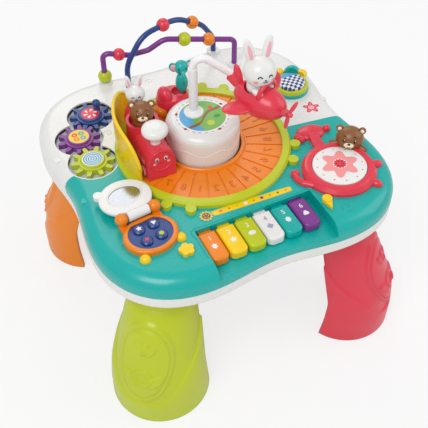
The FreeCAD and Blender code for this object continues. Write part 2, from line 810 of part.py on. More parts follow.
def build_phone_frame():
    frame = oval(0, phone_centre_v, phone_half_width, phone_half_depth, DECK, phone_top)
    rim = [e for e in frame.Edges if e.BoundBox.ZMin > phone_top - 0.01]
    frame = frame.makeFillet(3, rim)
    balls = []
    for side in (-1, 1):
        centre = Vector(side * hinge_ball_u, 0, hinge_z)
        balls.append(Part.makeSphere(hinge_ball, centre))
        balls.append(rod(5, centre + Vector(0, 0, DECK - hinge_z), centre))
        balls.append(box(side * hinge_ball_u - 5, side * hinge_ball_u + 5, -14, 0, DECK, DECK + 6))
    frame = fused(frame, *balls)
    cuts = [pad_outline(pad_low, phone_top + 1, 0.1),
            rod(PIN, Vector(-hinge_ball_u - 6, 0, hinge_z), Vector(hinge_ball_u + 6, 0, hinge_z)),
            rod(hinge_ball + 0.6, Vector(-barrel_half - 0.5, 0, hinge_z),
                Vector(barrel_half + 0.5, 0, hinge_z))]
    for u, v in button_offsets:
        cuts.append(Part.makeCylinder(button_stem_radius + 0.4, 20, Vector(u, v, DECK - 10)))
    return frame.cut(cuts[0].multiFuse(cuts[1:]))


def build_phone_pad():
    pad = pad_outline(pad_low, pad_top, 0)
    holes = [Part.makeCylinder(button_radius + 0.35, 10, Vector(u, v, DECK)) for u, v in button_offsets]
    return pad.cut(holes[0].multiFuse(holes[1:]))


def build_phone_button(number, spot):
    """A round cap with a sloped crown and a thin stem."""
    name = "button_" + str(number)
    cap = primitive("Cylinder", name + "_cap", at(spot.x, spot.y, pad_low + 1.8),
                    Radius="sizes.phone_button_radius", Height="sizes.button_cap")
    crown = primitive("Cone", name + "_crown", at(spot.x, spot.y, pad_low + 6),
                      Radius1="sizes.phone_button_radius",
                      Radius2="sizes.phone_button_radius - sizes.button_round", Height="1.6")
    stem = primitive("Cylinder", name + "_stem", at(spot.x, spot.y, phone_board_level + 9.4),
                     Radius="sizes.button_stem_radius", Height=str(pad_low + 2 - (phone_board_level + 9.4)))
    return joined(name, [cap, crown, stem])


lid_low = hinge_z - 5.7
lid_centre_v = phone_half_depth + 3
mirror_half = (21, 15.5)


def build_phone_lid():
    """The lid lies open behind the frame; its barrel turns on the hinge pin."""
    plate = oval(0, lid_centre_v, phone_half_width - 0.5, phone_half_depth, lid_low, hinge_z)
    rims = [e for e in plate.Edges if e.Length > 50 and e.BoundBox.ZLength < 0.01]
    plate = plate.makeFillet(2, rims)
    ear = Part.makeCylinder(6, 6, Vector(-phone_half_width + 6.5, lid_centre_v + 19, lid_low))
    barrel = rod(6.5, Vector(-barrel_half, 0, hinge_z), Vector(barrel_half, 0, hinge_z))
    web = box(-barrel_half, barrel_half, 0, 12, lid_low + 1, hinge_z)
    lid = plate.fuse(ear).fuse(barrel).fuse(web)
    cuts = [rod(PIN_BORE, Vector(-20, 0, hinge_z), Vector(20, 0, hinge_z)),
            oval(0, lid_centre_v + 2, mirror_half[0], mirror_half[1], hinge_z - 2, hinge_z + 5)]
    for side in (-1, 1):
        reach = side * (barrel_half + 30)
        inner = side * barrel_half
        cuts.append(rod(hinge_ball + 0.8, Vector(inner, 0, hinge_z), Vector(reach, 0, hinge_z)))
        cuts.append(box(min(inner, reach), max(inner, reach), -20, 4, DECK, hinge_z + 9))
    for cut in cuts:
        lid = lid.cut(cut)
    return lid


solid_node("phone_frame", build_phone_frame(), phone_place)
solid_node("phone_pad", build_phone_pad(), phone_place)
for number, (u, v) in enumerate(button_offsets, start=1):
    spot = phone_place.multVec(Vector(u, v, 0))
    keep("phone_button_" + str(number), build_phone_button(number, spot))
solid_node("phone_lid", build_phone_lid(), phone_place)
mirror = oval(0, lid_centre_v + 2, mirror_half[0] - 0.1, mirror_half[1] - 0.1, hinge_z - 2, hinge_z - 0.8)
solid_node("phone_mirror", mirror, phone_place)


# Drum with a neck, its sprung head and a bear that looks over its edge

drum_top = DECK + 10
drum_radius = size("drum_radius")
head_radius = size("drum_head_radius")
neck_root = Vector(124, -84, DECK)
neck_head = Vector(133, -41, DECK)


def build_drum_ring():
    inner = head_radius + 0.5
    ring = turned([(inner, DECK), (drum_radius, DECK), (drum_radius, DECK + 4),
                   (drum_radius - 4, drum_top - 1),
                   (drum_radius - 7, drum_top), (inner + 1, drum_top), (inner, drum_top - 1)], DRUM)
    way = (neck_head - neck_root).normalize()
    side = way.cross(UP)
    corners = [neck_root - way * 6 + side * 7.5, neck_head + side * 6.5, neck_head - side * 6.5,
               neck_root - way * 6 - side * 7.5]
    neck = Part.Face(Part.makePolygon(corners + corners[:1])).extrude(Vector(0, 0, 7))
    parts = [neck, egg(neck_head + way * 3 + Vector(0, 0, 0), (21, 15, 8), at(0, 0, 0, -6))]
    for turn, reach in ((205, 22), (190, 23), (-10, 23)):
        parts.append(Part.makeSphere(5.5, polar(reach, turn, neck_head + way * 3, 3)))
    for turn in (-13, -54.5):
        parts.append(egg(polar(drum_radius + 2, turn, DRUM, DECK + 1), (9, 6, 6), at(0, 0, 0, turn)))
    hook = [Vector(84, -130, DECK + 2), Vector(74, -121, DECK + 2), Vector(70.5, -111, DECK + 2),
            Vector(72, -102, DECK + 2)]
    parts.append(bent_rod(hook, 4.5, (6, 6)))
    parts.append(Part.makeSphere(5.8, hook[-1] + Vector(0, 0, 1)))
    below = box(-400, 400, -400, 400, DECK - 40, DECK)
    shape = ring
    for part in parts:
        shape = shape.fuse(part.cut(below))
    return shape.cut(Part.makeCylinder(inner, 40, DRUM + Vector(0, 0, DECK)))


def build_drum_head():
    """A shallow dome on a stem that goes down through the deck."""
    low = DECK + 3.6
    foot = drum_board_level + 9.5
    plate = primitive("Cylinder", "head_plate", at(DRUM.x, DRUM.y, low), Radius="sizes.drum_head_radius",
                      Height="6")
    slope = primitive("Cone", "head_slope", at(DRUM.x, DRUM.y, low + 6), Radius1="sizes.drum_head_radius",
                      Radius2="sizes.drum_head_radius - 3", Height="2")
    crown = primitive("Cone", "head_crown", at(DRUM.x, DRUM.y, low + 8),
                      Radius1="sizes.drum_head_radius - 3",
                      Radius2="sizes.drum_head_radius / 2", Height="1.4")
    stem = primitive("Cylinder", "head_stem", at(DRUM.x, DRUM.y, foot), Radius="sizes.drum_stem_radius",
                     Height=str(low + 1 - foot))
    return joined("sprung_head", [plate, slope, crown, stem])


bear_spot = Vector(163, -87, DECK)


def build_drum_bear():
    head = egg(bear_spot + Vector(0, 0, 19), (17, 20, 17), at(0, 0, 0, 45))
    base = Part.makeCylinder(10, 12, bear_spot)
    ears = [base, Part.makeSphere(6, bear_spot + Vector(-9, 16, 27)),
            Part.makeSphere(6, bear_spot + Vector(17, -8, 27))]
    arms = [rod(4.5, bear_spot + Vector(-4, 5, 5), Vector(141, -71, DECK + 6)),
            Part.makeSphere(4.5, Vector(141, -71, DECK + 6)),
            rod(4.5, bear_spot + Vector(4, -4, 5), Vector(177, -106, DECK + 5)),
            Part.makeSphere(4.5, Vector(177, -106, DECK + 5))]
    shape = fused(head, *(ears + arms))
    shape = shape.cut(box(-400, 400, -400, 400, DECK - 60, DECK))
    shape = shape.cut(Part.makeCylinder(head_radius + 0.6, 14, DRUM + Vector(0, 0, DECK)))
    return shape.cut(Part.makeCylinder(drum_radius, drum_top - DECK + 0.1, DRUM + Vector(0, 0, DECK)))


solid_node("drum_ring", build_drum_ring())
keep("drum_head", build_drum_head())
solid_node("drum_bear", build_drum_bear())


# Spinner: teal base with a cap, lime ring, yellow ears and a turning disc

spinner_radius = size("spinner_radius")
spinner_step = DECK + 6
spinner_head = SPINNER + Vector(15, 24, DECK)


def spinner_cap():
    """The teal knob at the spinner's edge."""
    head = egg(spinner_head + Vector(0, 0, 4), (13, 11, 16), at(0, 0, 0, -30))
    head = head.cut(box(-400, 400, -400, 400, DECK - 60, DECK))
    return head.cut(Part.makeCylinder(spinner_radius, 40, SPINNER + Vector(0, 0, spinner_step)))


def build_spinner_base():
    profile = [(0, DECK), (spinner_radius, DECK), (spinner_radius, spinner_step - 1),
               (spinner_radius - 1, spinner_step), (0, spinner_step)]
    tray = turned(profile, SPINNER)
    pin = Part.makeCylinder(size("spinner_pin_radius"), 8, SPINNER + Vector(0, 0, spinner_step))
    return fused(tray, pin, spinner_cap())


def build_spinner_rim():
    place = at(SPINNER.x, SPINNER.y, spinner_step)
    outer = primitive("Cylinder", "rim_outer", place, Radius="sizes.spinner_radius - 0.5", Height="5.5")
    inner = primitive("Cylinder", "rim_inner", place, Radius="sizes.spinner_radius - 5", Height="6")
    soft = rounded("rim_soft", outer, 1.5, lambda e: e.BoundBox.ZMin > spinner_step + 5)
    return minus("rim_ring", soft, inner)


def build_spinner_ears():
    ears = []
    for spot, radius in ((Vector(-2.5, 31, 11), 6), (Vector(25, 13, 11), 8)):
        ear = egg(SPINNER + spot + Vector(0, 0, DECK), (radius, radius, 5))
        stalk = Part.makeCylinder(2.5, 9, SPINNER + Vector(spot.x, spot.y, DECK))
        clear = Part.makeCylinder(spinner_radius + 0.1, 40, SPINNER + Vector(0, 0, DECK - 1))
        ears.append(fused(ear, stalk).cut(clear).cut(spinner_cap()))
    return Part.Compound(ears)


def build_spinner_disc():
    low = spinner_step + 0.8
    plate = primitive("Cylinder", "disc_plate", at(SPINNER.x, SPINNER.y, low),
                      Radius="sizes.spinner_radius - 5.5", Height="7.5")
    crown = primitive("Cone", "disc_crown", at(SPINNER.x, SPINNER.y, low + 7.5),
                      Radius1="sizes.spinner_radius - 5.5",
                      Radius2="sizes.spinner_radius - 8", Height="2.5")
    bore = primitive("Cylinder", "disc_bore", at(SPINNER.x, SPINNER.y, low - 1),
                     Radius="sizes.spinner_pin_radius + sizes.slip", Height="9")
    return minus("disc_bored", joined("disc_solid", [plate, crown]), bore)


solid_node("spinner_base", build_spinner_base())
keep("spinner_rim", build_spinner_rim())
solid_node("spinner_ears", build_spinner_ears())
keep("spinner_disc", build_spinner_disc())


# Lenses on the teal cover

dome_places = [Vector(-104.3, -135.4, DECK), Vector(-156, -149, DECK)]


def build_teal_lenses():
    below = box(-400, 400, -400, 400, DECK - 40, DECK)
    frame = oval(0, phone_centre_v, phone_half_width + 0.2, phone_half_depth + 0.2, DECK - 1, DECK + 20)
    frame.Placement = phone_place
    return [Part.makeSphere(7, place).cut(below).cut(frame) for place in dome_places]


def build_yellow_lenses():
    star_spot = Vector(-107, -158, DECK)
    lobes = [Part.makeCylinder(4.2, 5, polar(5.5, 90 + 72 * i, star_spot)) for i in range(5)]
    star = fused(Part.makeCylinder(5, 5, star_spot), *lobes)
    drop_spot = Vector(86, -158.5, DECK)
    corners = [drop_spot + Vector(x, y, 0) for x, y in ((-6.3, -1.5), (-2.5, -17), (6.3, -1.5))]
    tail = Part.Face(Part.makePolygon(corners + corners[:1])).extrude(Vector(0, 0, 4))
    return [star, fused(Part.makeCylinder(6.5, 5, drop_spot), tail)]


solid_node("indicator_lenses", Part.Compound(build_teal_lenses() + build_yellow_lenses()))


# Carousel: hub on the centre post, hill, clear arm, plane and train, which turn together

hub_low = DECK + 9
hill_low = DECK + 4.6
hill_radius = size("hill_radius")
hill_top = DECK + size("hill_height")
arm_thickness = size("hub_arm_thickness")
train_radius = size("train_radius")
hub_arm_angles = (180, 137, 97)


def build_carousel_hub():
    place = at(RING.x, RING.y, hub_low)
    sleeve = primitive("Cylinder", "hub_sleeve", place, Radius="sizes.post_radius + 4.1",
                       Height=str(post_top - 6 - hub_low))
    plate = primitive("Cylinder", "hub_plate", place, Radius="sizes.hill_radius - 5",
                      Height="sizes.hub_arm_thickness")
    arms = []
    for angle in hub_arm_angles:
        turned_place = Placement(Vector(RING.x, RING.y, hub_low), Rotation(UP, angle))
        arm_place = turned_place.multiply(at(hill_radius - 8, -size("hub_arm_width") / 2, 0))
        arms.append(primitive("Box", "hub_arm", arm_place, Length="sizes.train_radius - sizes.hill_radius",
                              Width="sizes.hub_arm_width", Height="sizes.hub_arm_thickness"))
    bore = primitive("Cylinder", "hub_bore", at(RING.x, RING.y, hub_low - 1),
                     Radius="sizes.post_radius + 0.1",
                     Height=str(post_top - hub_low))
    return minus("hub_bored", joined("hub_solid", [sleeve, plate] + arms), bore)


def build_hill():
    """A hollow drum with a rounded shoulder; the hub's arms leave through windows."""
    wall = WALL
    shoulder_radius = hill_radius - size("hill_top_radius")
    steps = 5

    def skin(grow):
        points = [(hill_radius + grow, hill_low)]
        for i in range(steps + 1):
            turn = math.radians(90 * i / steps)
            points.append((size("hill_top_radius") + grow + shoulder_radius * math.cos(turn),
                           hill_top + grow - shoulder_radius * (1 - math.sin(turn))))
        return points

    outer = turned(skin(0) + [(0, hill_top), (0, hill_low)], RING)
    inner = turned([(hill_radius - wall, hill_low)] + skin(-wall)[1:] + [(0, hill_top - wall),
                                                                         (0, hill_low)], RING)
    shell = outer.cut(inner)
    seat_inner = post_radius + 4.2
    seat_outer = post_radius + 8
    seat = turned([(seat_inner, post_top - 8), (seat_outer, post_top - 8), (seat_outer, hill_top - 1),
                   (seat_inner, hill_top - 1)], RING)
    shell = shell.fuse(seat)
    windows = []
    for angle in hub_arm_angles:
        window = box(hill_radius - 8, hill_radius + 4, -6.1, 6.1, hub_low - 0.1,
                     hub_low + arm_thickness + 0.1)
        window.Placement = Placement(RING, Rotation(UP, angle))
        windows.append(window)
    return shell.cut(windows[0].multiFuse(windows[1:]))


arm_foot = Vector(-17.1, 14.4, hill_top)
arm_end = Vector(28.4, -0.6, 371)


def build_clear_arm():
    radius = size("arm_radius")
    top = Vector(arm_foot.x, arm_foot.y, size("arm_top"))
    collar = turned([(0, 0), (13, 0), (13, 2.5), (radius + 3, 5), (radius + 1, 7), (0, 7)], arm_foot)
    path = [arm_foot + Vector(0, 0, 2), top, arm_end]
    return fused(collar, bent_rod(path, radius * 0.82, (12,)),
                 rod(radius, arm_foot + Vector(0, 0, 2), arm_foot + Vector(0, 0, 70)))


keep("carousel_hub", build_carousel_hub())
solid_node("hill", build_hill())
solid_node("clear_arm", build_clear_arm())

plane_middle = Vector(43.4, -51.6, 360)
plane_heading = -66
plane_place = Placement(plane_middle, Rotation(UP, plane_heading))
plane_half = size("plane_length") / 2
plane_side = size("plane_width") / 2
nose_reach = plane_half + 1.5


def build_plane():
    """Egg shaped body with an open cockpit, swept wings, a tail fin and a clip for the arm."""
    body = egg(Vector(), (plane_half, plane_side, plane_side - 1))
    cockpit = Part.makeCylinder(15, 30, Vector(-7, 0, 6))
    wings = []
    for side in (-1, 1):
        wing = egg(Vector(), (13, 24, 4),
                   at(0, 0, 0,
                      18 * side).multiply(Placement(Vector(), Rotation(Vector(1, 0, 0), 10 * side))))
        wing.translate(Vector(-9, side * (plane_side + 8), 2))
        wings.append(wing)
    fin = egg(Vector(-plane_half + 3, 0, 21), (6, 4, 15),
              Placement(Vector(), Rotation(Vector(0, 1, 0), -18)))
    shield = Part.makeTorus(15, 3, Vector(8, 0, 17), Vector(1, 0, -0.2)).common(box(0, 40, -40, 40, 14, 40))
    local_end = plane_place.inverse().multVec(arm_end)
    clip = rod(6.5, local_end + Vector(0, 0, -4), Vector(-plane_half + 12, 0, 3))
    shape = fused(body, fin, clip, *wings).cut(cockpit)
    shape = fused(shape, shield)
    path = [plane_place.inverse().multVec(p) for p in
            (arm_foot + Vector(0, 0, 2), Vector(arm_foot.x, arm_foot.y, size("arm_top")), arm_end)]
    shape = shape.cut(bent_rod(path, size("arm_radius") * 0.82, (12,)))
    axle = rod(PIN, Vector(plane_half - 6, 0, 0), Vector(nose_reach + 6, 0, 0))
    return fused(shape, axle)


def build_propeller():
    """A spinner cone with three rounded blades, its bore along local X."""
    hub = Part.makeCone(5, 2.5, 9, Vector(nose_reach, 0, 0), Vector(1, 0, 0))
    blades = []
    for i in range(3):
        blade = egg(Vector(0, 0, 0), (2, 4.6, 9.5))
        blade.translate(Vector(nose_reach + 3.5, 0, 11))
        blade.rotate(Vector(nose_reach, 0, 0), Vector(1, 0, 0), 170 + 120 * i)
        blades.append(blade)
    bore = rod(PIN_BORE, Vector(nose_reach - 1, 0, 0), Vector(nose_reach + 6.5, 0, 0))
    return fused(hub, *blades).cut(bore)


def build_pilot():
    body = egg(Vector(-7, 0, 19.2), (12, 13, 13))
    head = egg(Vector(-3, 0, 42), (19.5, 21, 19.5))
    neck = Part.makeCylinder(8, 16, Vector(-5, 0, 18))
    ears = [egg(Vector(-6, side * 11, 72), (4, 6.5, 17),
                Placement(Vector(), Rotation(Vector(1, 0, 0), -side * 14))) for side in (-1, 1)]
    arm = egg(Vector(2, -13, 21), (8, 5, 5))
    return fused(body, head, neck, arm, *ears)


plane = build_plane()
solid_node("plane_body", plane, plane_place)
solid_node("pilot_rabbit", build_pilot().cut(plane), plane_place)
solid_node("propeller", build_propeller(), plane_place)

# The locomotive stands left of the hill and heads for the piano side.
loco_place = Placement(RING + Vector(-train_radius, 0, 0), Rotation(UP, -90))
loco_half = size("loco_width") / 2
loco_floor = hub_low + arm_thickness
boiler_z = DECK + 33
boiler_radius = 18.5


def build_locomotive():
    """Local +X is forwards: apron, boiler and a rounded tub for the driver."""
    skirt = box(-30, 37, -loco_half, loco_half, loco_floor, boiler_z)
    front = box(28, 38, -loco_half, loco_half, DECK + 5.2, boiler_z)
    boiler = rod(boiler_radius, Vector(-20, 0, boiler_z), Vector(38, 0, boiler_z))
    tub = Part.makeCylinder(loco_half + 2, boiler_z + 22 - loco_floor, Vector(-24, 0, loco_floor))
    back = egg(Vector(-50, 3, boiler_z + 6), (16, 17, 26))
    back = back.common(box(-100, 0, -60, 60, loco_floor, 400))
    shape = fused(skirt, front, boiler, tub, back)
    hollow = Part.makeCylinder(loco_half - 2, 60, Vector(-24, 0, boiler_z + 8))
    rear_hollow = Part.makeCylinder(11, 60, Vector(-51, 3, boiler_z + 10))
    shape = shape.cut(hollow.fuse(rear_hollow))
    wheels = []
    for x in (24, -18):
        hub = Vector(x, 1 - loco_half, DECK + 13)
        wheels.append(rod(8, hub, hub + Vector(0, -2.5, 0)))
    return fused(shape, *wheels)


def build_chimney():
    base = boiler_z + boiler_radius
    stalk = [(0, base - 3), (5, base - 3), (7, base + 4)]
    cap = [(14, base + 13), (17, base + 17), (16.5, base + 23), (12, base + 26), (0, base + 27)]
    return turned(stalk + cap, Vector(21, 0, 0))


def build_train_figures():
    """Driver, passenger and the wagon's passenger, as three separate solids in the table's frame."""
    driver_spot = loco_place.multVec(Vector(-22, 0, 0))
    driver = fused(egg(Vector(driver_spot.x, driver_spot.y, boiler_z + 21), (13, 13, 13)),
                   egg(Vector(driver_spot.x, driver_spot.y, boiler_z + 36), (15.5, 15, 14.5)),
                   Part.makeSphere(5, Vector(driver_spot.x - 12, driver_spot.y + 2, boiler_z + 46)),
                   Part.makeSphere(5, Vector(driver_spot.x + 12, driver_spot.y + 2, boiler_z + 46)))
    rear_spot = loco_place.multVec(Vector(-51, 3, 0))
    rear = [egg(Vector(rear_spot.x, rear_spot.y, boiler_z + 44), (13, 12.5, 12)),
            Part.makeCylinder(9, 34, Vector(rear_spot.x, rear_spot.y, boiler_z + 10))]
    for side in (-1, 1):
        rear.append(egg(Vector(rear_spot.x + side * 6.5, rear_spot.y, boiler_z + 62), (3.5, 3, 10)))
    wagon_spot = polar(train_radius + 3, 86, RING)
    elephant = fused(Part.makeCylinder(6, 20, Vector(wagon_spot.x, wagon_spot.y, DECK + 29)),
                     egg(Vector(wagon_spot.x, wagon_spot.y, DECK + 52), (9, 9, 13)),
                     egg(Vector(wagon_spot.x, wagon_spot.y, DECK + 75), (9.5, 11, 11)),
                     egg(Vector(wagon_spot.x - 4, wagon_spot.y - 10, DECK + 68), (4, 5, 9)))
    return Part.Compound([driver, fused(rear[0], *rear[1:]), elephant])


wagon_angle = 97
wagon_middle = polar(train_radius + 3.5, wagon_angle, RING)


def build_coupling():
    """An orange block between the locomotive's tail and the wagon."""
    middle = polar(train_radius + 2, 113, RING, loco_floor + 6)
    block = egg(middle, (8, 9, 7))
    bar = rod(3, polar(train_radius + 2, 124, RING, loco_floor + 6),
              polar(train_radius + 2, 103, RING, loco_floor + 6))
    return fused(block, bar)


def build_wagon():
    """A round bottomed tub, a little longer along the track, with a raised back."""
    place = Placement(Vector(wagon_middle.x, wagon_middle.y, DECK + 27), Rotation(UP, wagon_angle))
    tub = egg(Vector(), (20, 24, 20)).cut(Part.makeCylinder(40, 30, Vector(0, 0, 9)))
    floor = box(-60, 60, -60, 60, -60, loco_floor - DECK - 27)
    hollow = Part.makeCylinder(10.5, 60, Vector(0, -11, 2))
    lobe = egg(Vector(0, 12, 8), (13, 10, 16))
    shape = fused(tub, lobe).cut(floor).cut(hollow)
    shape.Placement = place
    return Part.Compound([shape, build_coupling().cut(shape)])


locomotive = build_locomotive()
chimney = build_chimney().cut(locomotive)
solid_node("train_figures", build_train_figures())
for label, shape in (("locomotive", locomotive), ("chimney", chimney)):
    solid_node(label, shape, loco_place)
solid_node("wagon", build_wagon())


# Electronics inside

def build_speaker():
    r = size("speaker_radius")
    cone = [(0, BASE_FLOOR), (r, BASE_FLOOR), (r, BASE_FLOOR + 3), (r - 8, BASE_FLOOR + 9)]
    magnet = [(r - 8, BASE_FLOOR + 15), (0, BASE_FLOOR + 15)]
    return turned(cone + magnet, SPEAKER)


def build_boards():
    key_board = box(keys_left, keys_right, key_board_y - 8, key_board_y + 8, board_level, board_level + 1.6)
    main = box(main_board.x - 30, main_board.x + 30, main_board.y - 20, main_board.y + 20, board_level,
               board_level + 1.6)
    chip = box(main_board.x - 6, main_board.x + 6, main_board.y - 6, main_board.y + 6, board_level + 1.6,
               board_level + 3.4)
    phone_board = box(-26, 26, phone_centre_v - 16, phone_centre_v + 18, phone_board_level,
                      phone_board_level + 1.6)
    phone_board.Placement = phone_place
    drum_board = Part.makeCylinder(11, 1.6, DRUM + Vector(0, 0, drum_board_level))
    return Part.Compound([key_board, main.fuse(chip), phone_board, drum_board, build_speaker()])


def build_rubber_domes():
    domes = [turned([(0, 0), (4.5, 0), (3.4, 4.4), (0, 4.4)],
                    Vector(x, plunger_y, board_level + 1.6)) for x in key_x]
    for u, v in button_offsets:
        spot = phone_place.multVec(Vector(u, v, phone_board_level + 1.6))
        domes.append(turned([(0, 0), (4.5, 0), (3.4, 5.6), (0, 5.6)], spot))
    domes.append(turned([(0, 0), (6, 0), (4.5, 4.4), (0, 4.4)],
                        DRUM + Vector(0, 0, drum_board_level + 1.6)))
    return Part.Compound(domes)


def build_contacts():
    plates = []
    for i in (-1, 0, 1):
        for y in (box_front, box_back - 1):
            plates.append(box(i * cell_pitch - 6, i * cell_pitch + 6, y, y + 1, RIM_BOTTOM + 4,
                              box_top - 2))
    return plates


def build_batteries():
    cells = []
    level = RIM_BOTTOM + 2.8 + cell_radius
    start = box_front + 1.2
    for i in (-1, 0, 1):
        foot = Vector(i * cell_pitch, start, level)
        cell = rod(cell_radius, foot, foot + Vector(0, size("battery_length") - 1.5, 0))
        tip = rod(2.6, foot + Vector(0, size("battery_length") - 2, 0),
                  foot + Vector(0, size("battery_length"), 0))
        cells.append(fused(cell, tip))
    return Part.Compound(cells + build_contacts())


def build_battery_door():
    place = at(0.2 - box_half_width, box_front + 0.2, RIM_BOTTOM)
    return primitive("Box", "door", place, Length="6 * sizes.battery_radius + 5.6",
                     Width="sizes.battery_length + 2", Height="sizes.shell_wall")


def build_fasteners():
    """Cover screws from below, the key axle and the phone's hinge pin."""
    pieces = []
    for place in front_screws + back_screws:
        head = Part.makeCylinder(3, 1.8, place + Vector(0, 0, RIM_BOTTOM))
        shank = Part.makeCylinder(screw_radius, 14, place + Vector(0, 0, RIM_BOTTOM))
        pieces.append(head.fuse(shank))
    pieces.append(rod(PIN, Vector(tray_left - 5.8, key_axle_y, key_axle_z),
                      Vector(tray_right + 5.8, key_axle_y, key_axle_z)))
    pieces.append(rod(PIN, phone_place.multVec(Vector(-hinge_ball_u - 5, 0, hinge_z)),
                      phone_place.multVec(Vector(hinge_ball_u + 5, 0, hinge_z))))
    return Part.Compound(pieces)


def build_power_slider():
    knob = box(switch_x - 3.4, switch_x + 3.4, switch_y - 2.1, switch_y + 2.1, RIM_BOTTOM - 1.5,
               BASE_FLOOR + 0.5)
    plate = box(switch_x - 7, switch_x + 7, switch_y - 5, switch_y + 5, BASE_FLOOR + 0.2, BASE_FLOOR + 2.5)
    return fused(knob, plate)


solid_node("electronics", build_boards())
solid_node("rubber_domes", build_rubber_domes())
solid_node("batteries", build_batteries())
keep("battery_door", build_battery_door())
solid_node("steel_fasteners", build_fasteners())
solid_node("power_slider", build_power_slider())


# Every object has to be whole before anything is written.

document.recompute()
for item in document.Objects:
    if "Invalid" in item.State or "Error" in item.State:
        raise RuntimeError("not rebuilt: " + item.Label)
for label, piece in nodes.items():
    if piece.Shape.isNull() or not piece.Shape.isValid():
        raise RuntimeError("bad shape: " + label)
    if not piece.Shape.Solids:
        raise RuntimeError("no solid: " + label)

os.makedirs("parts", exist_ok=True)
for label, piece in nodes.items():
    piece.Shape.exportStep("parts/" + label + ".step")
    print(label, len(piece.Shape.Solids), round(piece.Shape.Volume))
print(len(nodes), "sub-parts")
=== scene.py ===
# %% [markdown]
# # A musical activity table
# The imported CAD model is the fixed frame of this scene.
# Every visible node keeps its place and gets a finish, and pieces with soft or
# animal shapes are worked out as numpy surfaces around it.

# %% Load the frame
import math

import bmesh
import bpy
import numpy as np
from mathutils import Matrix, Vector


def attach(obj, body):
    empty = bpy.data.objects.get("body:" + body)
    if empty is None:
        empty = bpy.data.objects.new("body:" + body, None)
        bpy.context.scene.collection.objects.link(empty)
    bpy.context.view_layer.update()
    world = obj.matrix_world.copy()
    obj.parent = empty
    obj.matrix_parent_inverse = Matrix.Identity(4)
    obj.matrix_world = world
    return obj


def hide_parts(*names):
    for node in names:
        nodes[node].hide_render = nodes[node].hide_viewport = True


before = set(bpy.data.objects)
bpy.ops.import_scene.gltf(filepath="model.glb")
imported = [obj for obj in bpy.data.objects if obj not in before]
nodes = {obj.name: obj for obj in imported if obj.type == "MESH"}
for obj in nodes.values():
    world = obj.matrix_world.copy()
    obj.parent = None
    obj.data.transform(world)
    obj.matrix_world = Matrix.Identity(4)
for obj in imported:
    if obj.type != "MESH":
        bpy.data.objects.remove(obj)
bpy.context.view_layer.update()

# %% [markdown]
# Colours are picked the way a moulder picks pellets: one name for each shade.
# They are written as screen values, and turned into linear light for the shaders.

# %% Shades
SHADES = {
    "teal": (0.00, 0.69, 0.66),
    "white": (0.93, 0.93, 0.92),
    "lime": (0.76, 0.81, 0.10),
    "red": (0.90, 0.22, 0.30),
    "orange": (0.95, 0.53, 0.07),
    "purple": (0.50, 0.20, 0.56),
    "blue": (0.13, 0.26, 0.53),
    "yellow": (0.98, 0.82, 0.05),
    "brown": (0.55, 0.35, 0.17),
    "grey": (0.80, 0.82, 0.83),
    "pink": (0.97, 0.70, 0.76),
    "cheek": (0.95, 0.62, 0.62),
    "black": (0.06, 0.05, 0.05),
    "cream": (0.98, 0.93, 0.82),
    "sky": (0.30, 0.65, 0.85),
    "grass": (0.45, 0.72, 0.28),
    "green_board": (0.05, 0.32, 0.16),
    "steel": (0.70, 0.71, 0.73),
    "rubber": (0.55, 0.55, 0.56),
    "milk": (0.98, 0.98, 0.99),
    # The planks' orange, darkened: painted shade for the shadowed edges of the raised track figures.
    "figure_painted_shade": (0.84, 0.40, 0.04),
    "leaf_green": (0.20, 0.55, 0.22),
    "dash": (0.62, 0.67, 0.74),
    "blush": (0.96, 0.60, 0.60),
    "berry": (0.70, 0.08, 0.14),
}


def linear(shade, gain=1.0):
    """Screen value to linear light: ((c + 0.055) / 1.055) to the power 2.4."""
    value = np.array(SHADES[shade], float)
    light = np.where(value <= 0.04045, value / 12.92, ((value + 0.055) / 1.055) ** 2.4)
    return tuple(np.clip(light * gain, 0, 1)) + (1.0,)


# %% [markdown]
# Moulded plastic is never one flat colour: the pigment swirls a little, and the
# mould leaves a faint grain that breaks up the gloss.
# Two noise patterns on Object coordinates do both, so nothing slides when a part moves.

# %% Plastic finish
FINISHES = {}


def finish_nodes(name):
    """A new material with its shader, tree and Object coordinates."""
    material = bpy.data.materials.new(name)
    material.use_nodes = True
    tree = material.node_tree
    shader = tree.nodes["Principled BSDF"]
    where = tree.nodes.new("ShaderNodeTexCoord").outputs["Object"]
    return material, tree, shader, where


def noise(tree, where, scale, detail=2.0):
    """A noise value at a scale in turns per metre."""
    node = tree.nodes.new("ShaderNodeTexNoise")
    node.inputs["Scale"].default_value = scale
    node.inputs["Detail"].default_value = detail
    tree.links.new(where, node.inputs["Vector"])
    return node.outputs["Fac"]


def blend_colour(tree, factor, first, second):
    """first where factor is 0, second where it is 1; each a colour or a socket."""
    node = tree.nodes.new("ShaderNodeMix")
    node.data_type = "RGBA"
    if isinstance(factor, float):
        node.inputs[0].default_value = factor
    else:
        tree.links.new(factor, node.inputs[0])
    for socket, colour in ((node.inputs[6], first), (node.inputs[7], second)):
        if isinstance(colour, tuple):
            socket.default_value = colour
        else:
            tree.links.new(colour, socket)
    return node.outputs[2]


def spread(tree, value, low, high):
    """A value from 0..1 spread to low..high."""
    node = tree.nodes.new("ShaderNodeMapRange")
    node.inputs["To Min"].default_value = low
    node.inputs["To Max"].default_value = high
    tree.links.new(value, node.inputs["Value"])
    return node.outputs["Result"]


def grain(tree, where, shader, scale=1400.0, strength=0.05):
    """A fine bump from the mould."""
    bump = tree.nodes.new("ShaderNodeBump")
    bump.inputs["Strength"].default_value = strength
    bump.inputs["Distance"].default_value = 0.0003
    tree.links.new(noise(tree, where, scale, 3.0), bump.inputs["Height"])
    tree.links.new(bump.outputs["Normal"], shader.inputs["Normal"])


